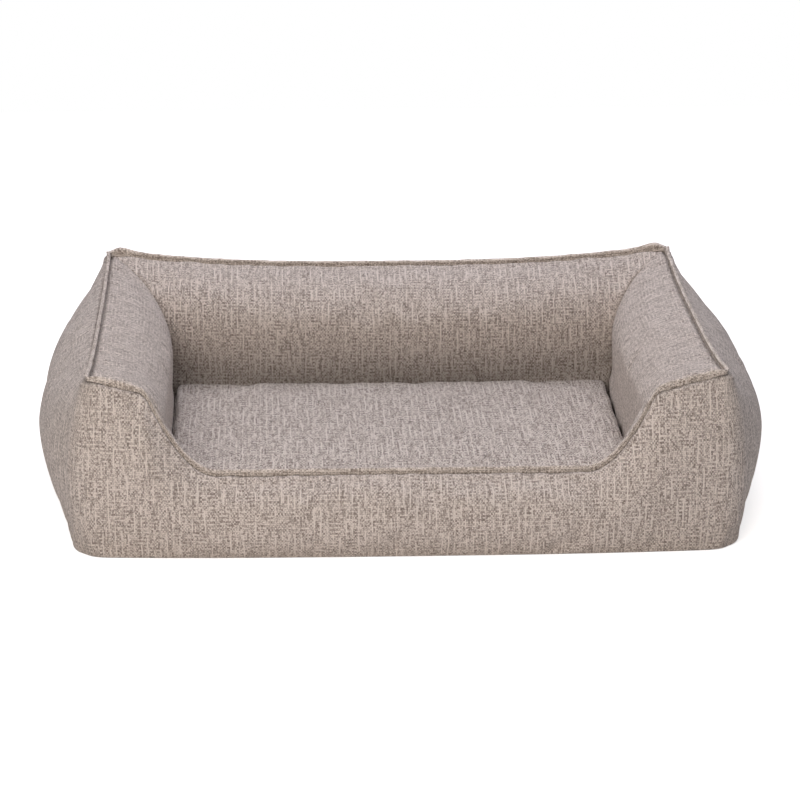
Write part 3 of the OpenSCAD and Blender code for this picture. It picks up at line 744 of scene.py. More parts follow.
def waves(at, *lengths):
    """Sum of sines of those wavelengths with fixed phases, from -1 to 1, for uneven cloth."""
    total = sum(np.sin(2 * np.pi * at / w + 1.7 * k * k + 0.6 * k) for k, w in enumerate(lengths))
    return total / len(lengths)


def dress(piece, body, slot, *replaced, fill=None):
    """Puts a finished piece on its body and hides the solids that it stands for. Its slot is not
    used.
    """
    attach(piece, body)
    if replaced:
        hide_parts(*replaced)


# ---- Geometry Nodes for what repeats ----


def tree_of(name, *sizes):
    """An empty geometry tree with those sizes and a material as inputs: the tree, its group input
    and output, and the size of one grain, Width across and Length along."""
    tree = bpy.data.node_groups.new(name, "GeometryNodeTree")
    inputs = {"Geometry": "Geometry", **dict.fromkeys(sizes, "Float"), "Material": "Material"}
    for label, kind in inputs.items():
        tree.interface.new_socket(label, in_out="INPUT", socket_type="NodeSocket" + kind)
    tree.interface.new_socket("Geometry", in_out="OUTPUT", socket_type="NodeSocketGeometry")
    given, result = node(tree, "NodeGroupInput"), node(tree, "NodeGroupOutput")
    grain = [given.outputs[label] for label in ("Width", "Width", "Length")]
    return tree, given, result, node(tree, "ShaderNodeCombineXYZ", grain)


def finish_tree(tree, given, result, instances):
    real = node(tree, "GeometryNodeRealizeInstances", [instances])
    smooth = node(tree, "GeometryNodeSetShadeSmooth", [real])
    painted = {"Geometry": smooth, "Material": given.outputs["Material"]}
    painted = node(tree, "GeometryNodeSetMaterial", painted)
    tree.links.new(painted.outputs[0], result.inputs[0])


def row_tree(name, shape):
    """A tree that repeats a shape at a pitch along a line, its Z turned along the line."""
    tree, given, result, grain = tree_of(name, "Pitch", "Length", "Width")
    curve = node(tree, "GeometryNodeMeshToCurve", [given])
    line = {"Curve": curve, "Length": given.outputs["Pitch"]}
    places = node(tree, "GeometryNodeResampleCurve", line, mode="LENGTH")
    tangent = {"Vector": node(tree, "GeometryNodeInputTangent")}
    turned = node(tree, "FunctionNodeAlignRotationToVector", tangent, axis="Z")
    placed = {"Points": places, "Instance": shape(tree), "Rotation": turned, "Scale": grain}
    finish_tree(tree, given, result, node(tree, "GeometryNodeInstanceOnPoints", placed))
    return tree


def stitch_shape(tree):
    """A stitch: a small round grain, one unit long and wide."""
    return node(tree, "GeometryNodeMeshUVSphere", {"Segments": 6, "Rings": 5, "Radius": 0.5})


def loop_shape(tree):
    """One turn of a zip's coil: an oval ring that stands across the chain."""
    ring, wire = (
        node(tree, "GeometryNodeCurvePrimitiveCircle", {"Resolution": count, "Radius": radius})
        for count, radius in ((10, 0.4), (5, 0.17))
    )
    return node(tree, "GeometryNodeCurveToMesh", {"Curve": ring, "Profile Curve": wire})


def run_tree(piece, tree, values):
    """Runs a tree on a piece and keeps the result as its plain mesh."""
    modifier = piece.modifiers.new(piece.name, "NODES")
    modifier.node_group = tree
    for item in tree.interface.items_tree:
        if item.in_out == "INPUT" and item.name in values:
            modifier[item.identifier] = values[item.name]
    return baked(piece)


def along_lines(name, lines, tree, **values):
    """Runs a row tree along one or more lines of points."""
    mesh = bpy.data.meshes.new(name)
    points = np.concatenate(lines)
    starts = np.cumsum([0] + [len(line) for line in lines])
    edges = [(a + k, a + k + 1) for a, line in zip(starts, lines) for k in range(len(line) - 1)]
    mesh.from_pydata(points.tolist(), edges, [])
    return run_tree(object_of(name, mesh), tree, values)


def stitched(name, lines, material, width):
    """Rows of stitches along lines of points."""
    edge = bpy.context.scene.bed_edge
    tree = bpy.data.node_groups.get("Stitch row") or row_tree("Stitch row", stitch_shape)
    looks = {"Length": edge.stitch, "Width": width, "Material": material}
    return along_lines(name, lines, tree, Pitch=edge.stitch_pitch, **looks)


# ---- user settings ----


def setting(name, description, default, **kind):
    return bpy.props.FloatProperty(name=name, description=description, default=default, **kind)


def size(name, description, millimetres):
    return setting(name, description, millimetres * MM, unit="LENGTH", precision=4)


class ClothSettings(bpy.types.PropertyGroup):
    """The upholstery cloth and how it is stuffed"""

    thickness: size("Cloth", "Thickness of the upholstery cloth with its backing", 1.8)
    pitch: size("Grid", "Distance between the points of the simulated cloth", 6)
    cap: size("Fold height", "Most that the simulated cloth may leave the cut shape", 3.5)
    pucker: size("Pucker", "Height of the puckers beside a gathered seam", 0.9)
    groove: size("Groove", "Depth of the groove beside a top seam", 3.0)
    filling: size("Filling gap", "Depth of the filling under the cloth's face", 7)
    slack: setting("Slack", "Spare cloth as a share of its length", 0.02)
    pressure: setting("Pressure", "Push of the filling on the cloth", 3.0)
    fill: setting("Fill", "How tight the walls are stuffed", 0.85, subtype="FACTOR")


class EdgeSettings(bpy.types.PropertyGroup):
    """The folded and topstitched edge on the top seam"""

    thickness: size("Thickness", "Thickness of the folded edge at its rolled top", 5.2)
    neck: size("Neck", "Thickness of the edge at its line of stitches", 3.2)
    up: size("Height", "Height of the edge over the seam", 6.5)
    down: size("Depth", "Depth of the edge under the seam", 5)
    ear: size("Ear", "How far the edge stands out and up at a corner", 4)
    stitch: size("Stitch", "Length of a stitch", 3.2)
    stitch_pitch: size("Stitch pitch", "Distance from stitch to stitch", 4.5)
    stitch_width: size("Thread", "Width of the topstitch thread", 0.8)


class MattressSettings(bpy.types.PropertyGroup):
    """The loose mattress"""

    corner: size("Corner", "Plan radius of the mattress's corners", 9)
    shoulder: size("Edge", "Height of the rounded edge between band and top", 10)
    crown: size("Crown", "Rise of the top over its edge", 4)
    fill: setting("Fill", "How tight the cover sits", 0.8, subtype="FACTOR")


class BaseSettings(bpy.types.PropertyGroup):
    """The anti-slip cloth under the bed"""

    dot: size("Dot", "Diameter of a grip dot", 4)
    dot_pitch: size("Dot pitch", "Distance between the grip dots", 18)
    dot_height: size("Dot height", "Height of a grip dot", 0.6)


class StageSettings(bpy.types.PropertyGroup):
    """The floor, the lamps and the camera"""

    lens: setting("Lens", "Focal length", 136.7, unit="CAMERA")
    distance: setting("Distance", "From the bed to the camera", 4.322, unit="LENGTH")
    azimuth: setting("Azimuth", "Turn round the bed", math.radians(-2.1), subtype="ANGLE")
    elevation: setting("Elevation", "Height of the view", math.radians(17.74), subtype="ANGLE")


# ---- the rim's panels ----


class Panel:
    """A grid of points on a wall's face, with its cloth coordinates and what holds it."""

    def __init__(self, name, points, along, up, flip, held, warp=None):
        self.name, self.points, self.flip, self.held = name, points, flip, held
        self.along, self.up = np.broadcast_arrays(along, up)
        self.warp = self.along if warp is None else warp
        self.to_seam = self.up[:, -1:] - self.up


def outer_grid(wall, pitch):
    """Grid of an outer panel. The zip's slot in the back wall lies between two rows of it."""
    count = 2 * round(straight(wall) / pitch)
    middle = np.linspace(-1, 1, count + 1)
    if wall == "back":
        slot = FRAME_ZIP.half / straight(wall)
        inside = 2 * round(FRAME_ZIP.half / pitch)
        beside = round((straight(wall) - FRAME_ZIP.half) / pitch)
        right = np.linspace(slot, 1, beside + 1)
        middle = np.concatenate([-right[::-1], np.linspace(-slot, slot, inside + 1)[1:-1], right])
    u = stations(middle, 1 + even(6)[1:])
    slot_low, slot_high = ZIP_RISE - FRAME_ZIP.slot, ZIP_RISE + FRAME_ZIP.slot
    marks = np.concatenate([even(3) * slot_low, [ZIP_RISE, slot_high]])
    back_middle = levels_by_length(outer_section, "back", np.zeros(1), even(1), even(1))
    low_length = back_middle[1][0, 1]
    rest = np.linspace(slot_high, low_length, round((low_length - slot_high) / pitch) + 1)[1:]
    rows = np.concatenate([marks, rest]) / low_length
    t, up = levels_by_length(outer_section, wall, u, rows, even(20), SEAM_ROWS)
    out, z = outer_section(wall, u[:, None], t)
    # The hem, turned under the base
    out = np.insert(out, 0, out[:, 0] - HEM_IN, axis=1)
    z = np.insert(z, 0, HEM_Z, axis=1)
    up = np.insert(up, 0, -BASE_T, axis=1)
    points = round_foot(round_corner(wall, u[:, None], out, z))
    held = np.zeros(points.shape[:2])
    held[:, :2] = held[:, -1:] = 1
    if wall == "back":
        held[:, up[0] < slot_high + 8 * MM] = 1
    along = along_wall(wall, u, CORNER_CLOTH)[:, None]
    return Panel(wall + "_outer_cloth", points, along, up, wall != "left", held)


def inner_grid(wall, pitch):
    half = {"front": WELL_X, "back": SEAM_X - CREASE_IN / 2}.get(wall, SEAM_D / 2 - 0.02)
    v = np.linspace(-1, 1, 2 * round(half / pitch) + 1)
    low, high = (16, 10) if wall == "front" else (22, 20)
    t, up = levels_by_length(inner_section, wall, v, even(low), even(high), SEAM_ROWS)
    inward, z = inner_section(wall, v[:, None], t)
    points = inner_place(wall, v[:, None], inward, z)
    if wall != "front":
        # The cover's empty back corners drop between the folded edges
        to_corner = half * (1 - (np.abs(v) if wall == "back" else -v))[:, None]
        drop = bell(to_corner, CORNER_WIDE) * ease((t - CORNER_FROM) / (1 - CORNER_FROM))
        points[..., 2] -= CORNER_DROP * drop
    held = np.zeros(points.shape[:2])
    held[:, 0] = held[:, -1] = held[0] = held[-1] = 1
    warp = points[..., 0 if wall in ("front", "back") else 1].copy()
    return Panel(wall + "_inner_cloth", points, half * v[:, None], up, wall == "left", held, warp)


def simulate(points, faces, held, settings):
    """Lets slack cloth settle over its filling. Returns the new points."""
    piece = piece_of("cloth_simulation", points, faces)
    group = piece.vertex_groups.new(name="held")
    for weight in np.unique(held):
        if weight > 0:
            group.add(np.flatnonzero(held == weight).tolist(), float(weight), "REPLACE")
    cloth = piece.modifiers.new("cloth", "CLOTH")
    how = {"quality": 4, "mass": 0.2, "air_damping": 5, "pin_stiffness": 1, "use_pressure": True}
    how |= {"tension_stiffness": 20, "compression_stiffness": 20, "shear_stiffness": 8}
    how |= {"bending_stiffness": 2, "vertex_group_mass": "held", "shrink_min": -settings.slack}
    how |= {"uniform_pressure_force": settings.pressure}
    for key, value in how.items():
        setattr(cloth.settings, key, value)
    cloth.settings.effector_weights.gravity = 0
    cloth.collision_settings.use_collision = False
    scene = bpy.context.scene
    for step in range(SETTLING_FRAMES):
        scene.frame_set(step + 1)
    graph = bpy.context.evaluated_depsgraph_get()
    settled = coordinates(piece.evaluated_get(graph).data)
    scene.frame_set(1)
    mesh = piece.data
    bpy.data.objects.remove(piece)
    bpy.data.meshes.remove(mesh)
    shift = settled - points
    length = np.linalg.norm(shift, axis=1, keepdims=True)
    return points + shift * settings.cap * np.tanh(length / settings.cap) / np.maximum(length, TINY)


def settle(panels, settings):
    """Simulates the panels as one sewn skin, and puts the result back into them."""
    points = np.concatenate([p.points.reshape(-1, 3) for p in panels])
    held = np.concatenate([p.held.ravel() for p in panels])
    starts = np.cumsum([0] + [p.held.size for p in panels])
    faces = np.concatenate([grid_faces(*p.held.shape, p.flip) + s for p, s in zip(panels, starts)])
    # Points this near to each other are sewn into one
    near = (points / (0.2 * MM)).round()
    _, first, same = np.unique(near, axis=0, return_index=True, return_inverse=True)
    same = same.ravel()
    hold = np.zeros(len(first))
    np.maximum.at(hold, same, held)
    faces = same[faces]
    proper = [len(set(f)) == 4 for f in faces.tolist()]
    settled = simulate(points[first], faces[proper], hold, settings)[same]
    for panel, start in zip(panels, starts):
        panel.points = settled[start : start + panel.held.size].reshape(panel.points.shape)


def make_panel(panel, settings, material, skip=None):
    """The sewn panel: subdivided, puckered beside its seam and given its thickness."""
    uv = np.stack([panel.warp + 1, panel.up + 1], -1)
    faces = grid_faces(*panel.held.shape, panel.flip, skip)
    piece = piece_of(panel.name, panel.points, faces, material, uv)
    write(piece.data, "to_seam", panel.to_seam)
    write(piece.data, "along", panel.along)
    mesh = smoothed(piece).data
    near, along = (read(mesh.attributes[label].data, "value") for label in ("to_seam", "along"))
    gathered = waves(along, *GATHERS) * (0.6 + 0.4 * waves(along, *GATHER_SPREAD))
    fade = np.exp(-near / GATHER_FADE) * (1 - np.exp(-near / GATHER_START))
    relief = SHOULDER_SHARE * bell(near, *SHOULDER) - bell(near, *GROOVE)
    height = settings.pucker * gathered * fade + settings.groove * relief
    moved = coordinates(mesh) + read(mesh.vertex_normals, "vector", 3) * height[:, None]
    mesh.vertices.foreach_set("co", moved.ravel())
    # Painted shade beside the seam, for the shadow under the folded edge, and low on the back
    # wall's inner panel
    shade = FRONT_DARK if panel.name == "front_outer_cloth" else OTHER_DARK
    shade = shade * bell(near, *SEAM_DARK)
    # Painted shade: the back wall's inner panel is darker just over the mattress
    if panel.name == "back_inner_cloth":
        above = np.maximum(moved[:, 2] - MATTRESS_TOP, 0)
        shade = np.maximum(shade, WELL_DARK * bell(above, WELL_DARK_UP))
    write(mesh, "painted_shade", shade)
    give_thickness(piece, settings.thickness)
    return piece


class ZipPlace:
    """Where a zip lies and how long it is, from its two coils."""

    def __init__(self, kind):
        coils = [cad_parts[f"{kind}_zip_{side}_coil"] for side in ("upper", "lower")]
        upper, lower = (coordinates(coil.data) for coil in coils)
        self.centre = Vector((upper.mean(0) + lower.mean(0)) / 2)
        self.centre.x = 0
        self.up = (Vector(upper.mean(0)) - Vector(lower.mean(0))).normalized()
        self.out = self.up.cross(Vector((1, 0, 0)))
        self.coil = upper[:, 0].max()
        self.half = self.coil + 3 * MM
        spread = (upper - np.array(self.centre)) @ np.array(self.up)
        self.coil_middle = (spread.min() + spread.max()) / 2
        self.coil_t = np.ptp((upper - np.array(self.centre)) @ np.array(self.out))
        self.slot = spread.max() + 2.4 * MM

    def row(self, half, out, up):
        """Both ends of a line along the zip."""
        middle = self.centre + self.out * out + self.up * up
        return np.array([middle + Vector((x, 0, 0)) for x in (-half, half)])


COIL_PITCH = 1.6 * MM
FRAME_ZIP = ZipPlace("frame")
MATTRESS_ZIP = ZipPlace("mattress")


class DOGBED_OT_rim_cloth(bpy.types.Operator):
    """Sews the eight panels of the rim over its filling"""

    bl_idname = "dogbed.rim_cloth"
    bl_label = "Rim cloth"

    def execute(self, context):
        settings = context.scene.bed_cloth
        panels = [grid(wall, settings.pitch) for grid in (outer_grid, inner_grid) for wall in WALLS]
        settle(panels, settings)
        cloth = woven("melange_upholstery_weave", YARNS)
        for panel in panels:
            skip = None
            if panel.name == "back_outer_cloth":
                x = (panel.along[:-1, :-1] + panel.along[1:, :-1]) / 2
                level = (panel.up[:-1, :-1] + panel.up[:-1, 1:]) / 2 - ZIP_RISE
                skip = (np.abs(x) < FRAME_ZIP.half) & (np.abs(level) < FRAME_ZIP.slot)
            # Nothing stands in the mattress's way up
            x, y = panel.points[..., 0], panel.points[..., 1]
            if panel.name == "front_inner_cloth":
                y[:] = np.minimum(y, MATTRESS_FRONT - LIFT_ROOM["front"])
            elif panel.name == "back_inner_cloth":
                y[:] = np.maximum(y, MATTRESS_BACK + LIFT_ROOM["back"])
            elif "inner" in panel.name:
                x[:] = np.sign(x) * np.maximum(np.abs(x), MATTRESS_X + LIFT_ROOM["side"])
            piece = make_panel(panel, settings, cloth, skip)
            stands_for = panel.name.replace("cloth", "panel")
            dress(piece, "frame", "rim_cloth", stands_for, fill=settings.fill)
        return {"FINISHED"}


class DOGBED_OT_rim_filling(bpy.types.Operator):
    """Makes the foam core of each wall, a little smaller than its cover"""

    bl_idname = "dogbed.rim_filling"
    bl_label = "Rim filling"

    def execute(self, context):
        depth = context.scene.bed_cloth.filling
        foam = foam_material()
        t = np.linspace(0, 1, 40)[None]
        u = stations(np.linspace(-1, 1, 91), np.array((1.3, 1.6, 2)))[:, None]
        for wall in WALLS:
            out, z = under(outer_section, wall, u, t, depth)
            top = seam_z(wall, u) - FILLING_DROP
            out, z = np.maximum(out, CLOTH_END), np.minimum(z, top)
            outside = round_foot(round_corner(wall, u, out, z))
            squeezed = 0.93 * np.minimum(np.abs(u), 1) + 0.07 * np.maximum(np.abs(u) - 1, 0)
            v = np.sign(u) * np.minimum(squeezed, 1)
            if wall == "front":
                v = np.clip(u * straight(wall) / (WELL_X - depth), -1, 1)
            inward, z_in = under(inner_section, wall, v, t, depth)
            top_in = front_seam_z(-v * WELL_X) if wall == "front" else seam_z(wall, v)
            inward, z_in = np.maximum(inward, CLOTH_END), np.minimum(z_in, top_in - FILLING_DROP)
            inside = inner_place(wall, v, inward, z_in, 2 * depth)
            if wall == "front":
                along = along_wall(wall, u, SEAM_R - 2 * MM)
                flat = to_bed(wall, along, -2 * MM, mix(BASE_T, top, t))
                beside = np.abs(u * straight(wall)) > WELL_X - depth
                inside = np.where(beside[..., None], flat, inside)
            rings = np.concatenate([outside, inside[:, ::-1]], 1)
            piece = tube(wall + "_foam_filling", rings, foam)
            dress(piece, "frame", "foam", wall + "_foam_core", fill=0.9)
        return {"FINISHED"}


class DOGBED_OT_edges(bpy.types.Operator):
    """Folds the edge along each top seam, with its ears at the corners and its topstitching"""

    bl_idname = "dogbed.edges"
    bl_label = "Folded edges"

    def execute(self, context):
        s = context.scene.bed_edge
        # The panels' weave in lighter yarns, as painted light
        cloth = woven("folded_edge_weave", EDGE_YARNS)
        thread = thread_material()
        # Half profile of the edge: distance from its middle and height over the seam
        bead, neck = s.thickness / 2, s.neck / 2
        half = [(bead, -s.down), (neck, 0.12 * s.up), (neck, 0.25 * s.up)]
        half.append((0.9 * bead, 0.45 * s.up))
        for a in np.linspace(0, np.pi / 2, 5)[:-1]:
            half.append((bead * math.cos(a), s.up - bead + bead * math.sin(a)))
        profile = np.array(half + [(0, s.up)] + [(-x, z) for x, z in half[::-1]])
        share = np.clip(profile[:, 1] / s.up, 0, 1) ** 1.5
        around = np.cumsum(np.linalg.norm(np.diff(profile, axis=0, prepend=profile[:1]), axis=1))
        for wall in WALLS:
            count = 2 * round(straight(wall) / (3 * MM))
            u = stations(np.linspace(-1, 1, count + 1), 1 + even(6)[1:])[:, None]
            along = along_wall(wall, u, CORNER_EDGE)
            to_corner = straight(wall) + CORNER_EDGE - np.abs(along)
            away = 1 - np.exp(-to_corner / CALM_CORNER)
            sway = SWAY * waves(along, *SWAY_WAVES) * away
            lift = 1 + LIFT * waves(along, *LIFT_WAVES) * away
            small = (wall == "front") | ((wall != "back") & (u > 0))
            ear = s.ear * np.where(small, SMALL_EAR, 1)
            lean = ear * bell(to_corner, EAR_LONG)
            rise = (1 if wall == "back" else SIDE_RISE) * bell(to_corner, EAR_LONG, EAR_LONG)
            rise = ear * (rise - EAR_DIP * bell(to_corner, EAR_TIP))

            def place(out, up, w):
                out = out + w * (lean + sway)
                return round_corner(wall, u, out, seam_z(wall, u) + up * lift + w * rise)

            rings = place(profile[None, :, 0], profile[None, :, 1], share)
            uv = np.stack(np.broadcast_arrays(around[None] + 1, along + 1), -1)
            piece = tube(wall + "_folded_edge", rings, cloth, uv)
            dress(piece, "frame", "binding_cloth", wall + "_binding")
            rows = [place(side * (neck + 0.1 * MM), 0.2 * s.up, 0.1)[:, 0] for side in (-1, 1)]
            stitches = stitched(wall + "_edge_stitches", rows, thread, s.stitch_width)
            dress(stitches, "frame", "binding_cloth")
        return {"FINISHED"}


class DOGBED_OT_base(bpy.types.Operator):
    """Lays the anti-slip cloth under the bed, with its grip dots"""

    bl_idname = "dogbed.base"
    bl_label = "Anti-slip base"

    def execute(self, context):
        s = context.scene.bed_base
        outline = []
        u = stations(np.linspace(-1, 1, 61), 1 + even(4)[1:])[:, None]
        for wall in ("back", "right", "front", "left"):
            out = outer_section(wall, u, np.zeros((1, 1)))[0] - 2 * HEM_IN
            foot = round_corner(wall, u, out, s.dot_height)[:, 0]
            outline.append((foot[::-1] if wall == "left" else foot)[:-1])
        outline = round_foot(np.concatenate(outline))
        shares = (1, 0.99, 0.66, 0.33)
        rings = [outline * (w, w, 1) + (0, MIDDLE_Y * (1 - w), 0) for w in shares]
        points = np.concatenate(rings + [[[0, MIDDLE_Y, s.dot_height]]])
        count, inner, centre = len(outline), (len(rings) - 1) * len(outline), len(points) - 1
        faces = [f[:1] + f[:0:-1] for f in ring_faces(len(rings), count)]
        faces += [[inner + i, inner + (i + 1) % count, centre] for i in range(count)]
        base = piece_of("anti_slip_base", points, faces, nonwoven_material())
        give_thickness(base, BASE_T - s.dot_height)
        dress(base, "frame", "base_cloth", "base_panel")

        # A field of dots from under the floor, each kept where the cloth lies over it
        tree, given, result, dot_size = tree_of("Dot field", "Width", "Length")
        fall = 0.1
        field = {}
        for axis, length in zip("XY", np.ptp(outline[:, :2], axis=0)):
            field["Size " + axis] = length
            field["Vertices " + axis] = round(length / s.dot_pitch)
        grid = node(tree, "GeometryNodeMeshGrid", field)
        lowered = {"Geometry": grid, "Translation": (0, MIDDLE_Y, -fall)}
        lowered = node(tree, "GeometryNodeTransform", lowered)
        ray = {"Target Geometry": given, "Ray Direction": (0, 0, 1)}
        hit = node(tree, "GeometryNodeRaycast", ray, data_type="FLOAT").outputs["Is Hit"]
        dot = node(tree, "GeometryNodeMeshUVSphere", {"Segments": 8, "Rings": 4, "Radius": 0.5})
        dots = {"Points": lowered, "Selection": hit, "Instance": dot, "Scale": dot_size}
        dots = node(tree, "GeometryNodeInstanceOnPoints", dots)
        raised = {"Geometry": dots, "Translation": (0, 0, fall + s.dot_height)}
        finish_tree(tree, given, result, node(tree, "GeometryNodeTransform", raised))
        cover = piece_of("grip_dots", points * (0.97, 0.96, 1), faces)
        values = {"Width": s.dot, "Length": 2 * s.dot_height, "Material": dot_material()}
        dress(run_tree(cover, tree, values), "frame", "base_cloth")
        return {"FINISHED"}


# ---- the mattress ----

# How far the band is tucked in at its two seams, and drawn in past the ends of its zip
TUCK = 1.2 * MM
DRAWN_IN = 1.8 * MM
# Rounding of the support foam's edges
SOFT_EDGE = 4 * MM


def rounded(x, y, a, b, r):
    """Moves a rectangle's points onto nested rounded rectangles of half sizes a and b."""
    over_x = np.maximum((np.abs(x) - (a - r)) / r, 0)
    over_y = np.maximum((np.abs(y) - (b - r)) / r, 0)
    length = np.hypot(over_x, over_y)
    scale = np.where(length > 0, np.maximum(over_x, over_y) / np.maximum(length, TINY), 1)
    return (
        np.sign(x) * (np.minimum(np.abs(x), a - r) + r * over_x * scale),
        np.sign(y) * (np.minimum(np.abs(y), b - r) + r * over_y * scale),
    )


def outline_points(inset, corner, pitch):
    """Points round the mattress, anticlockwise from its zip's left end, and their lengths."""
    r = corner - inset
    x, y = MATTRESS_X - inset - r, MATTRESS_DY - inset - r
    left, right = (-MATTRESS_ZIP.half, y + r), (MATTRESS_ZIP.half, y + r)

    def line(a, b):
        count = max(round(np.linalg.norm(np.subtract(b, a)) / pitch), 1)
        return np.linspace(a, b, count + 1)[:-1]

    parts, last = [], left
    for quarter, centre in ((1, (-x, y)), (2, (-x, -y)), (3, (x, -y)), (4, (x, y))):
        turn = (quarter + np.linspace(0, 1, 9)) * np.pi / 2
        arc = centre + r * np.stack([np.cos(turn), np.sin(turn)], -1)
        parts += [line(last, arc[0]), arc[:-1]]
        last = arc[-1]
    parts += [line(last, right), line(right, left), [left]]
    points = np.concatenate(parts) + (0, MATTRESS_Y)
    steps = np.linalg.norm(np.diff(points, axis=0, prepend=points[:1]), axis=1)
    return points, np.cumsum(steps)


def spread(half_x, half_y, columns, rows):
    """A grid of x and y over a rectangle, of those halves."""
    across, deep = np.linspace(-half_x, half_x, columns + 1), np.linspace(-half_y, half_y, rows + 1)
    return np.meshgrid(across, deep, indexing="ij")


def mattress_top(s, pitch, depth=0.0):
    """Grid over the rounded edge and the crowned top: points, cloth coordinates, edge distance."""
    run, rise = 0.6 * s.shoulder, s.shoulder
    arc = np.pi / 2 * math.sqrt((run**2 + rise**2) / 2)
    a, b = MATTRESS_X - depth, MATTRESS_DY - depth
    wide, deep = a + arc - run, b + arc - run
    x, y = spread(wide, deep, 2 * round(wide / pitch), 2 * round(deep / pitch))
    edge = np.minimum(wide - np.abs(x), deep - np.abs(y))
    angle = np.pi / 2 * np.clip(edge / arc, 0, 1)
    inset = np.where(edge < arc, run * (1 - np.cos(angle)), run + edge - arc)
    ring_a, ring_b = a - inset, b - inset
    px = x * ring_a / np.maximum(wide - edge, 1e-6)
    py = y * ring_b / np.maximum(deep - edge, 1e-6)
    px, py = rounded(px, py, ring_a, ring_b, np.maximum(s.corner - depth - inset, 6 * MM))
    w = np.clip((inset - run) / (0.6 * b - run), 0, 1)
    edge_z = MATTRESS_TOP - s.crown - depth
    z = mix(BAND_TOP, edge_z, np.sin(angle)) + s.crown * np.sin(np.pi / 2 * w)
    return np.stack([px, py + MATTRESS_Y, z], -1), np.stack([x + 1, y + 1], -1), edge


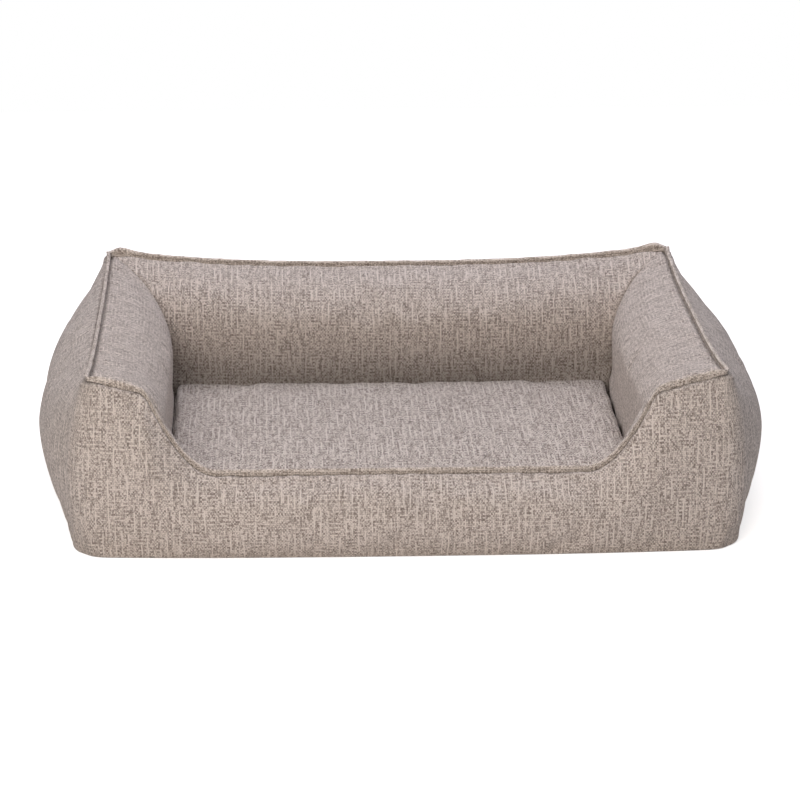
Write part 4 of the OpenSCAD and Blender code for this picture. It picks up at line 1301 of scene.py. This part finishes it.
class DOGBED_OT_mattress(bpy.types.Operator):
    """Makes the mattress: its cover's three panels, its seams and the two layers of foam in it"""

    bl_idname = "dogbed.mattress"
    bl_label = "Mattress"

    def execute(self, context):
        s = context.scene.bed_mattress
        self.cover(s, context.scene.bed_cloth)
        self.filling(s, context.scene.bed_cloth)
        return {"FINISHED"}

    def cover(self, s, settings):
        cloth = woven("melange_mattress_weave", MATTRESS_YARNS, weft=5 * MM)
        points, uv, edge = mattress_top(s, settings.pitch)
        faces = grid_faces(*edge.shape)
        held = (edge < 1e-6).astype(float)
        points = simulate(points.reshape(-1, 3), faces, held.ravel(), settings)
        top = smoothed(piece_of("mattress_top_cover", points, faces, cloth, uv))
        # Painted shade: the weave is darkened under the back wall's overhang and along the side
        # walls
        x, y, _ = coordinates(top.data).T
        shade = BACK_DARK * np.exp((y - MATTRESS_BACK) / BACK_DARK_IN)
        shade += SIDE_DARK * np.exp((np.abs(x) - MATTRESS_X) / SIDE_DARK_IN)
        write(top.data, "painted_shade", shade)

        ring, length = outline_points(0, s.corner, settings.pitch)
        zip_z, slot = MATTRESS_ZIP.centre.z, MATTRESS_ZIP.slot
        low_rows = np.linspace(BAND_Z, zip_z - slot, 4)
        rows = np.concatenate([low_rows, np.linspace(zip_z + slot, BAND_TOP, 6)])
        tuck = TUCK * (2 * (rows - BAND_Z) / (BAND_TOP - BAND_Z) - 1) ** 4
        pull = (ring - (0, MATTRESS_Y)) / (MATTRESS_X, MATTRESS_DY)
        xy = ring[:, None] - pull[:, None] * tuck[:, None]
        band = np.insert(xy, 2, rows, axis=2)
        # Past the ends of its zip the cloth is drawn in, and the pull lies clear of it
        past = bell(np.abs(ring[:, 0]) - MATTRESS_ZIP.half, 16 * MM, 8 * MM)
        past = past * (ring[:, 1] > MATTRESS_BACK - 1 * MM)
        band[..., 1] -= DRAWN_IN * past[:, None] * bell(rows, 12 * MM, zip_z)
        skip = np.zeros((len(ring) - 1, len(rows) - 1), bool)
        skip[np.abs(ring[1:, 0] + ring[:-1, 0]) / 2 < MATTRESS_ZIP.half, len(low_rows) - 1] = True
        skip[ring[1:, 1] < MATTRESS_BACK - 1e-6] = False
        uv = np.stack(np.broadcast_arrays(length[:, None] + 1, rows[None] + 1), -1)
        faces = grid_faces(*band.shape[:2], True, skip)
        side_band = piece_of("mattress_band", band, faces, cloth, uv)

        x, y = spread(MATTRESS_X, MATTRESS_DY, 80, 60)
        uv = np.stack([x + 1, y + 1], -1)
        x, y = rounded(x, y, MATTRESS_X, MATTRESS_DY, s.corner)
        points = np.stack([x, y + MATTRESS_Y, np.full_like(x, MATTRESS_Z)], -1)
        bottom = piece_of("mattress_underside", points, grid_faces(*x.shape, True), cloth, uv)
        for piece in (top, side_band, bottom):
            give_thickness(piece, settings.thickness)
        dress(top, "mattress", "mattress_cloth", "mattress_top_panel", fill=s.fill)
        dress(side_band, "mattress", "mattress_cloth", "mattress_side_band")
        dress(bottom, "mattress", "mattress_cloth", "mattress_bottom_panel")

        line = outline_points(-0.1 * MM, s.corner, settings.pitch)[0]
        rows = [np.insert(line, 2, level, axis=1) for level in (BAND_Z + 3 * MM, BAND_TOP - 2 * MM)]
        stitches = stitched("mattress_seam_stitches", rows, thread_material(), SEAM_THREAD)
        dress(stitches, "mattress", "mattress_cloth")

    def filling(self, s, settings):
        support_top = highest("mattress_support_foam").z
        rings = []
        for angle in np.radians(np.linspace(-90, 90, 13)):
            inset = settings.filling + SOFT_EDGE * (1 - math.cos(angle))
            z = support_top - SOFT_EDGE if angle > 0 else BAND_Z + SOFT_EDGE
            line = outline_points(inset, s.corner, 2 * settings.pitch)[0][:-1]
            rings.append(np.insert(line, 2, z + SOFT_EDGE * math.sin(angle), axis=1))
        support = tube("support_foam", np.array(rings), foam_material())
        dress(support, "mattress", "foam", "mattress_support_foam", fill=1.0)

        top = mattress_top(s, 2 * settings.pitch, FILLING_DROP)[0]
        flat = top.copy()
        flat[..., 2] = support_top + 0.2 * MM
        columns, rows = top.shape[:2]
        number = np.arange(columns * rows).reshape(columns, rows)
        border = [number[:-1, 0], number[-1, :-1], number[:0:-1, -1], number[0, :0:-1]]
        border = np.concatenate(border)
        faces = grid_faces(columns, rows).tolist()
        faces += (grid_faces(columns, rows, True) + number.size).tolist()
        pairs = zip(np.roll(border, -1), border)
        faces += [[a, a + number.size, b + number.size, b] for a, b in pairs]
        memory = foam_material("viscoelastic_foam", "#cfe0e4", "#a9c2c9", cell=0.9 * MM)
        layer = piece_of("memory_foam", np.stack([top, flat]), faces, memory)
        dress(layer, "mattress", "memory_foam", "mattress_memory_foam", fill=0.9)


class DOGBED_OT_zips(bpy.types.Operator):
    """Winds the coils of both zips, stitches their tapes down and gives their metal its finish"""

    bl_idname = "dogbed.zips"
    bl_label = "Zips"

    def execute(self, context):
        coil, thread = coil_material(), thread_material()
        finish = dict.fromkeys(("upper_tape", "lower_tape"), tape_material())
        finish |= dict.fromkeys(("stops", "slider", "pull"), zinc_material())
        tree = row_tree("Zip coil", loop_shape)
        for kind, place in (("frame", FRAME_ZIP), ("mattress", MATTRESS_ZIP)):
            name = kind + "_zip_"
            slot = "rim_cloth" if kind == "frame" else "mattress_cloth"
            looks = {"Length": COIL_PITCH, "Width": place.coil_t, "Material": coil}
            for side, part in ((1, "upper"), (-1, "lower")):
                line = place.row(place.coil, 0, side * place.coil_middle)
                teeth = along_lines(f"{name}{part}_teeth", [line], tree, Pitch=COIL_PITCH, **looks)
                dress(teeth, kind, "zip_coil", f"{name}{part}_coil")
            for part, material in finish.items():
                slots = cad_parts[name + part].data.materials
                slots.clear()
                slots.append(material)
            up = place.slot + 2.5 * MM
            rows = [place.row(place.half, 0.3 * MM, side * up) for side in (-1, 1)]
            dress(stitched(name + "stitches", rows, thread, SEAM_THREAD), kind, slot)
        return {"FINISHED"}


# ---- the stage ----

AIM = Vector((-0.0305, MIDDLE_Y, 0.1059))
CAMERA_SHIFT = 0.03
FLOOR_REACH = 2.4
LAMP_AIM = Vector((0, 0, 0.1))
LAMP_SIZE = (1.8, 1.4)
# Place in metres, power in watts and colour of each lamp
LAMPS = {
    "key": ((-0.75, -2.6, 1.6), 45, "#fff4ea"),
    "top": ((0.1, 0.7, 2.4), 32, "#f8f5ff"),
}


def hidden_from_camera(tree, seen, lit):
    """What the camera sees straight or in gloss, and what lights the bed."""
    path = node(tree, "ShaderNodeLightPath").outputs
    ray = path["Is Camera Ray"]
    for kind in ("Is Glossy Ray", "Is Transmission Ray"):
        ray = node(tree, "ShaderNodeMath", [ray, path[kind]], operation="MAXIMUM")
    return node(tree, "ShaderNodeMixShader", [ray, lit, seen])


def placed(name, data, place, towards):
    """A lamp or a camera at its place, turned in a direction."""
    made = bpy.data.objects.new(name, data)
    bpy.context.scene.collection.objects.link(made)
    made.location = place
    made.rotation_mode = "QUATERNION"
    made.rotation_quaternion = towards.to_track_quat("-Z", "Y")
    return made


class DOGBED_OT_stage(bpy.types.Operator):
    """Sets the pale floor, the lamps and the camera"""

    bl_idname = "dogbed.stage"
    bl_label = "Stage"

    def execute(self, context):
        s = context.scene.bed_stage
        scene = context.scene
        scene.view_settings.view_transform = "Standard"
        scene.world = scene.world or bpy.data.worlds.new("studio")
        tree = cleared(scene.world)
        white, light = (
            node(tree, "ShaderNodeBackground", {"Color": linear(colour), "Strength": strength})
            for colour, strength in (("#ffffff", 1.0), ("#f3f5ff", 0.16))
        )
        node(tree, "ShaderNodeOutputWorld", {"Surface": hidden_from_camera(tree, white, light)})

        # Painted studio floor: smooth matt white board
        material = bpy.data.materials.new("painted_floor_board")
        tree = cleared(material)
        paint = node(tree, "ShaderNodeBsdfDiffuse", {"Color": linear("#f4f2f0"), "Roughness": 0.5})
        glow = node(tree, "ShaderNodeEmission", {"Color": linear("#ffffff"), "Strength": 0.7})
        bright = node(tree, "ShaderNodeAddShader", [paint, glow])
        seen = hidden_from_camera(tree, bright, paint)
        node(tree, "ShaderNodeOutputMaterial", {"Surface": seen})
        mesh = bpy.data.meshes.new("floor")
        r = FLOOR_REACH
        mesh.from_pydata([(-r, -r, 0), (r, -r, 0), (r, r, 0), (-r, r, 0)], [], [(0, 1, 2, 3)])
        object_of("floor", mesh, material)

        level = math.cos(s.elevation)
        back = (math.sin(s.azimuth) * level, -math.cos(s.azimuth) * level, math.sin(s.elevation))
        back = Vector(back)
        lens = bpy.data.cameras.new("camera")
        lens.lens, lens.shift_x = s.lens, CAMERA_SHIFT
        scene.camera = placed("camera", lens, AIM + back * s.distance, -back)
        for name, (place, power, colour) in LAMPS.items():
            lamp = bpy.data.lights.new(name, "AREA")
            lamp.color = linear(colour)[:3]
            lamp.shape = "RECTANGLE"
            lamp.size, lamp.size_y = LAMP_SIZE
            lamp.energy = power
            placed(name, lamp, place, LAMP_AIM - Vector(place))
        return {"FINISHED"}


class DOGBED_PT_panel(bpy.types.Panel):
    """Sidebar panel with the bed's settings and its steps"""

    bl_label = "Dog bed"
    bl_idname = "DOGBED_PT_panel"
    bl_space_type = "VIEW_3D"
    bl_region_type = "UI"
    bl_category = "Dog bed"

    def draw(self, context):
        for group in SETTINGS:
            box = self.layout.box()
            for key in SETTINGS[group].__annotations__:
                box.prop(getattr(context.scene, group), key)
        for step in STEPS:
            self.layout.operator(step.bl_idname)


SETTINGS = {
    "bed_cloth": ClothSettings,
    "bed_edge": EdgeSettings,
    "bed_mattress": MattressSettings,
    "bed_base": BaseSettings,
    "bed_stage": StageSettings,
}
STEPS = (
    DOGBED_OT_stage,
    DOGBED_OT_rim_filling,
    DOGBED_OT_rim_cloth,
    DOGBED_OT_edges,
    DOGBED_OT_base,
    DOGBED_OT_mattress,
    DOGBED_OT_zips,
)
CLASSES = (*SETTINGS.values(), *STEPS, DOGBED_PT_panel)


def register():
    for kind in CLASSES:
        bpy.utils.register_class(kind)
    for name, group in SETTINGS.items():
        setattr(bpy.types.Scene, name, bpy.props.PointerProperty(type=group))


def unregister():
    for name in SETTINGS:
        delattr(bpy.types.Scene, name)
    for kind in reversed(CLASSES):
        bpy.utils.unregister_class(kind)


def main():
    register()
    for step in STEPS:
        getattr(bpy.ops.dogbed, step.bl_idname.split(".")[1])()


if __name__ == "__main__":
    main()
